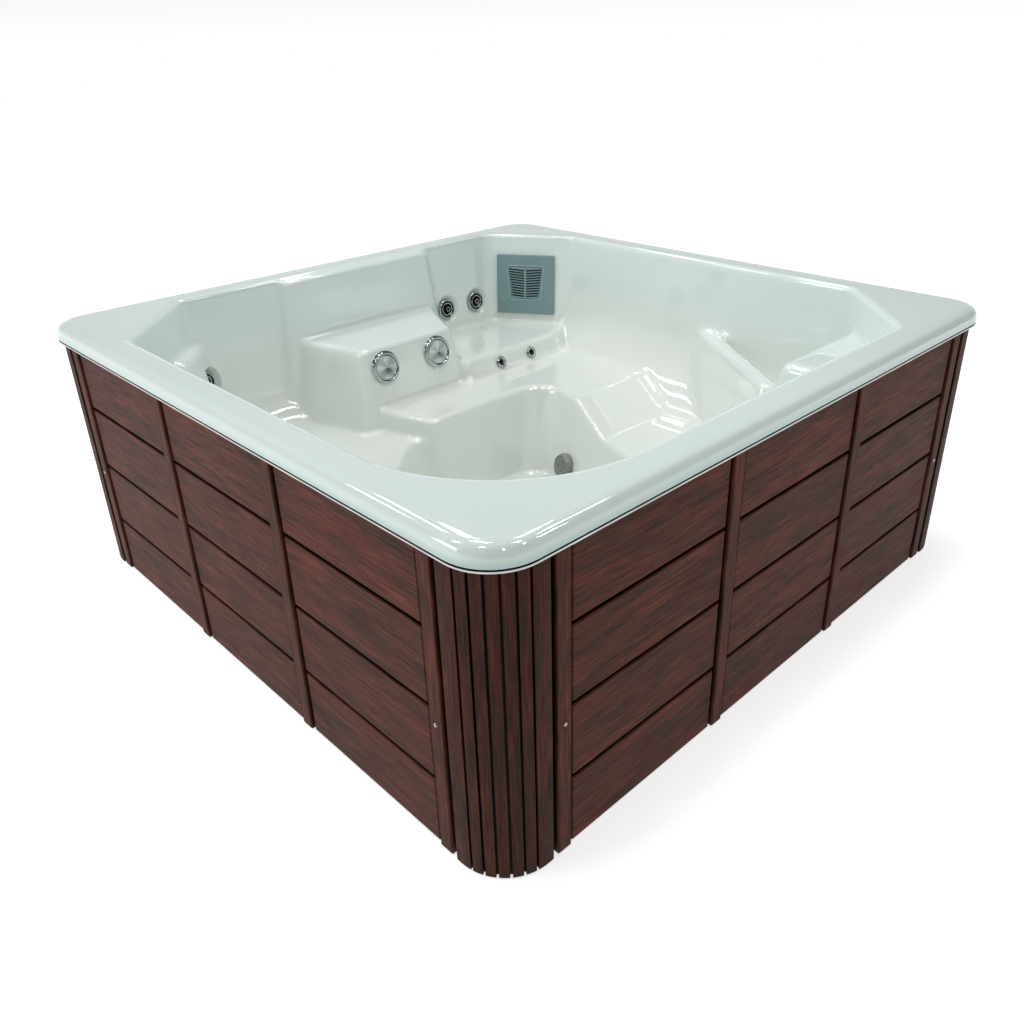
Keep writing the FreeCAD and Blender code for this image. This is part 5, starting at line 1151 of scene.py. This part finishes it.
def floor_finish():
    made, tree, shader = new_material("pale_floor")
    point = object_point(tree)
    cloud = noise(tree, point, 0.6, 3.0, 0.5)
    pale = ramp(tree, cloud, ((0.3, (0.90, 0.90, 0.90)), (0.7, (0.93, 0.93, 0.93))))
    away = put(tree, "VectorMath", {0: point}, operation="LENGTH").outputs["Value"]
    feed(tree, shader, Base_Color=pale, Roughness=0.85, Emission_Color=pale,
         Emission_Strength=spread(tree, away, FLOOR_NEAR, FLOOR_FAR, FLOOR_NEAR_GLOW, FLOOR_FAR_GLOW))
    return made


def make_floor():
    bm = bmesh.new()
    bmesh.ops.create_grid(bm, x_segments=1, y_segments=1, size=FLOOR_HALF)
    bmesh.ops.translate(bm, vec=(0, 0, -1 * MM), verts=bm.verts)
    floor = scratch_object(bm, "floor")
    floor.data.materials.append(floor_finish())


def area_light(name, at, aim, width, depth, energy, colour):
    data = bpy.data.lights.new(name, "AREA")
    data.shape = "RECTANGLE"
    data.size = width
    data.size_y = depth
    data.energy = energy
    data.color = colour
    lamp = bpy.data.objects.new(name, data)
    lamp.location = at
    lamp.rotation_euler = (Vector(aim) - Vector(at)).to_track_quat("-Z", "Y").to_euler()
    bpy.context.scene.collection.objects.link(lamp)


def make_lights():
    """A pale horizon, dimmed to the right and behind the camera, small ceiling lamps and a front panel."""
    world = bpy.data.worlds.new("studio")
    bpy.context.scene.world = world
    world.use_nodes = True
    tree = world.node_tree
    way = split(tree, put(tree, "TexCoord").outputs["Generated"])
    sky = ramp(tree, way["Z"], SKY)
    dim_side = spread(tree, way["X"], -0.2, 0.5, 1.0, SIDE_DIM)
    camera_side = maths(tree, "SUBTRACT", maths(tree, "MULTIPLY", way["X"], NEAR_X),
                        maths(tree, "MULTIPLY", way["Y"], NEAR_Y))
    dim_near = spread(tree, camera_side, 0.55, 0.95, 1.0, NEAR_DIM)
    background = tree.nodes["Background"]
    tree.links.new(sky, background.inputs["Color"])
    tree.links.new(maths(tree, "MULTIPLY", dim_side, dim_near), background.inputs["Strength"])
    for across in LAMP_ACROSS:
        for along, power in LAMP_ALONG:
            area_light("ceiling_strip", (across, along, LAMP_UP), (across / 2, along / 2, 0), LAMP_W, LAMP_L,
                       power, LAMP_WHITE)
    area_light("front_panel", PANEL_LAMP_AT, PANEL_LAMP_AIM, 2.0, 1.4, 40, PANEL_LAMP_WARM)
    bpy.context.scene.view_settings.view_transform = "Standard"


make_shell()
for jet_side in ("left", "right"):
    step_jet(jet_side)
    foot_jet(jet_side)
for jet_side in ("left", "right", "seat"):
    back_jet(jet_side)
make_filter_plate()
dress_nodes()
make_camera()
make_floor()
make_lights()
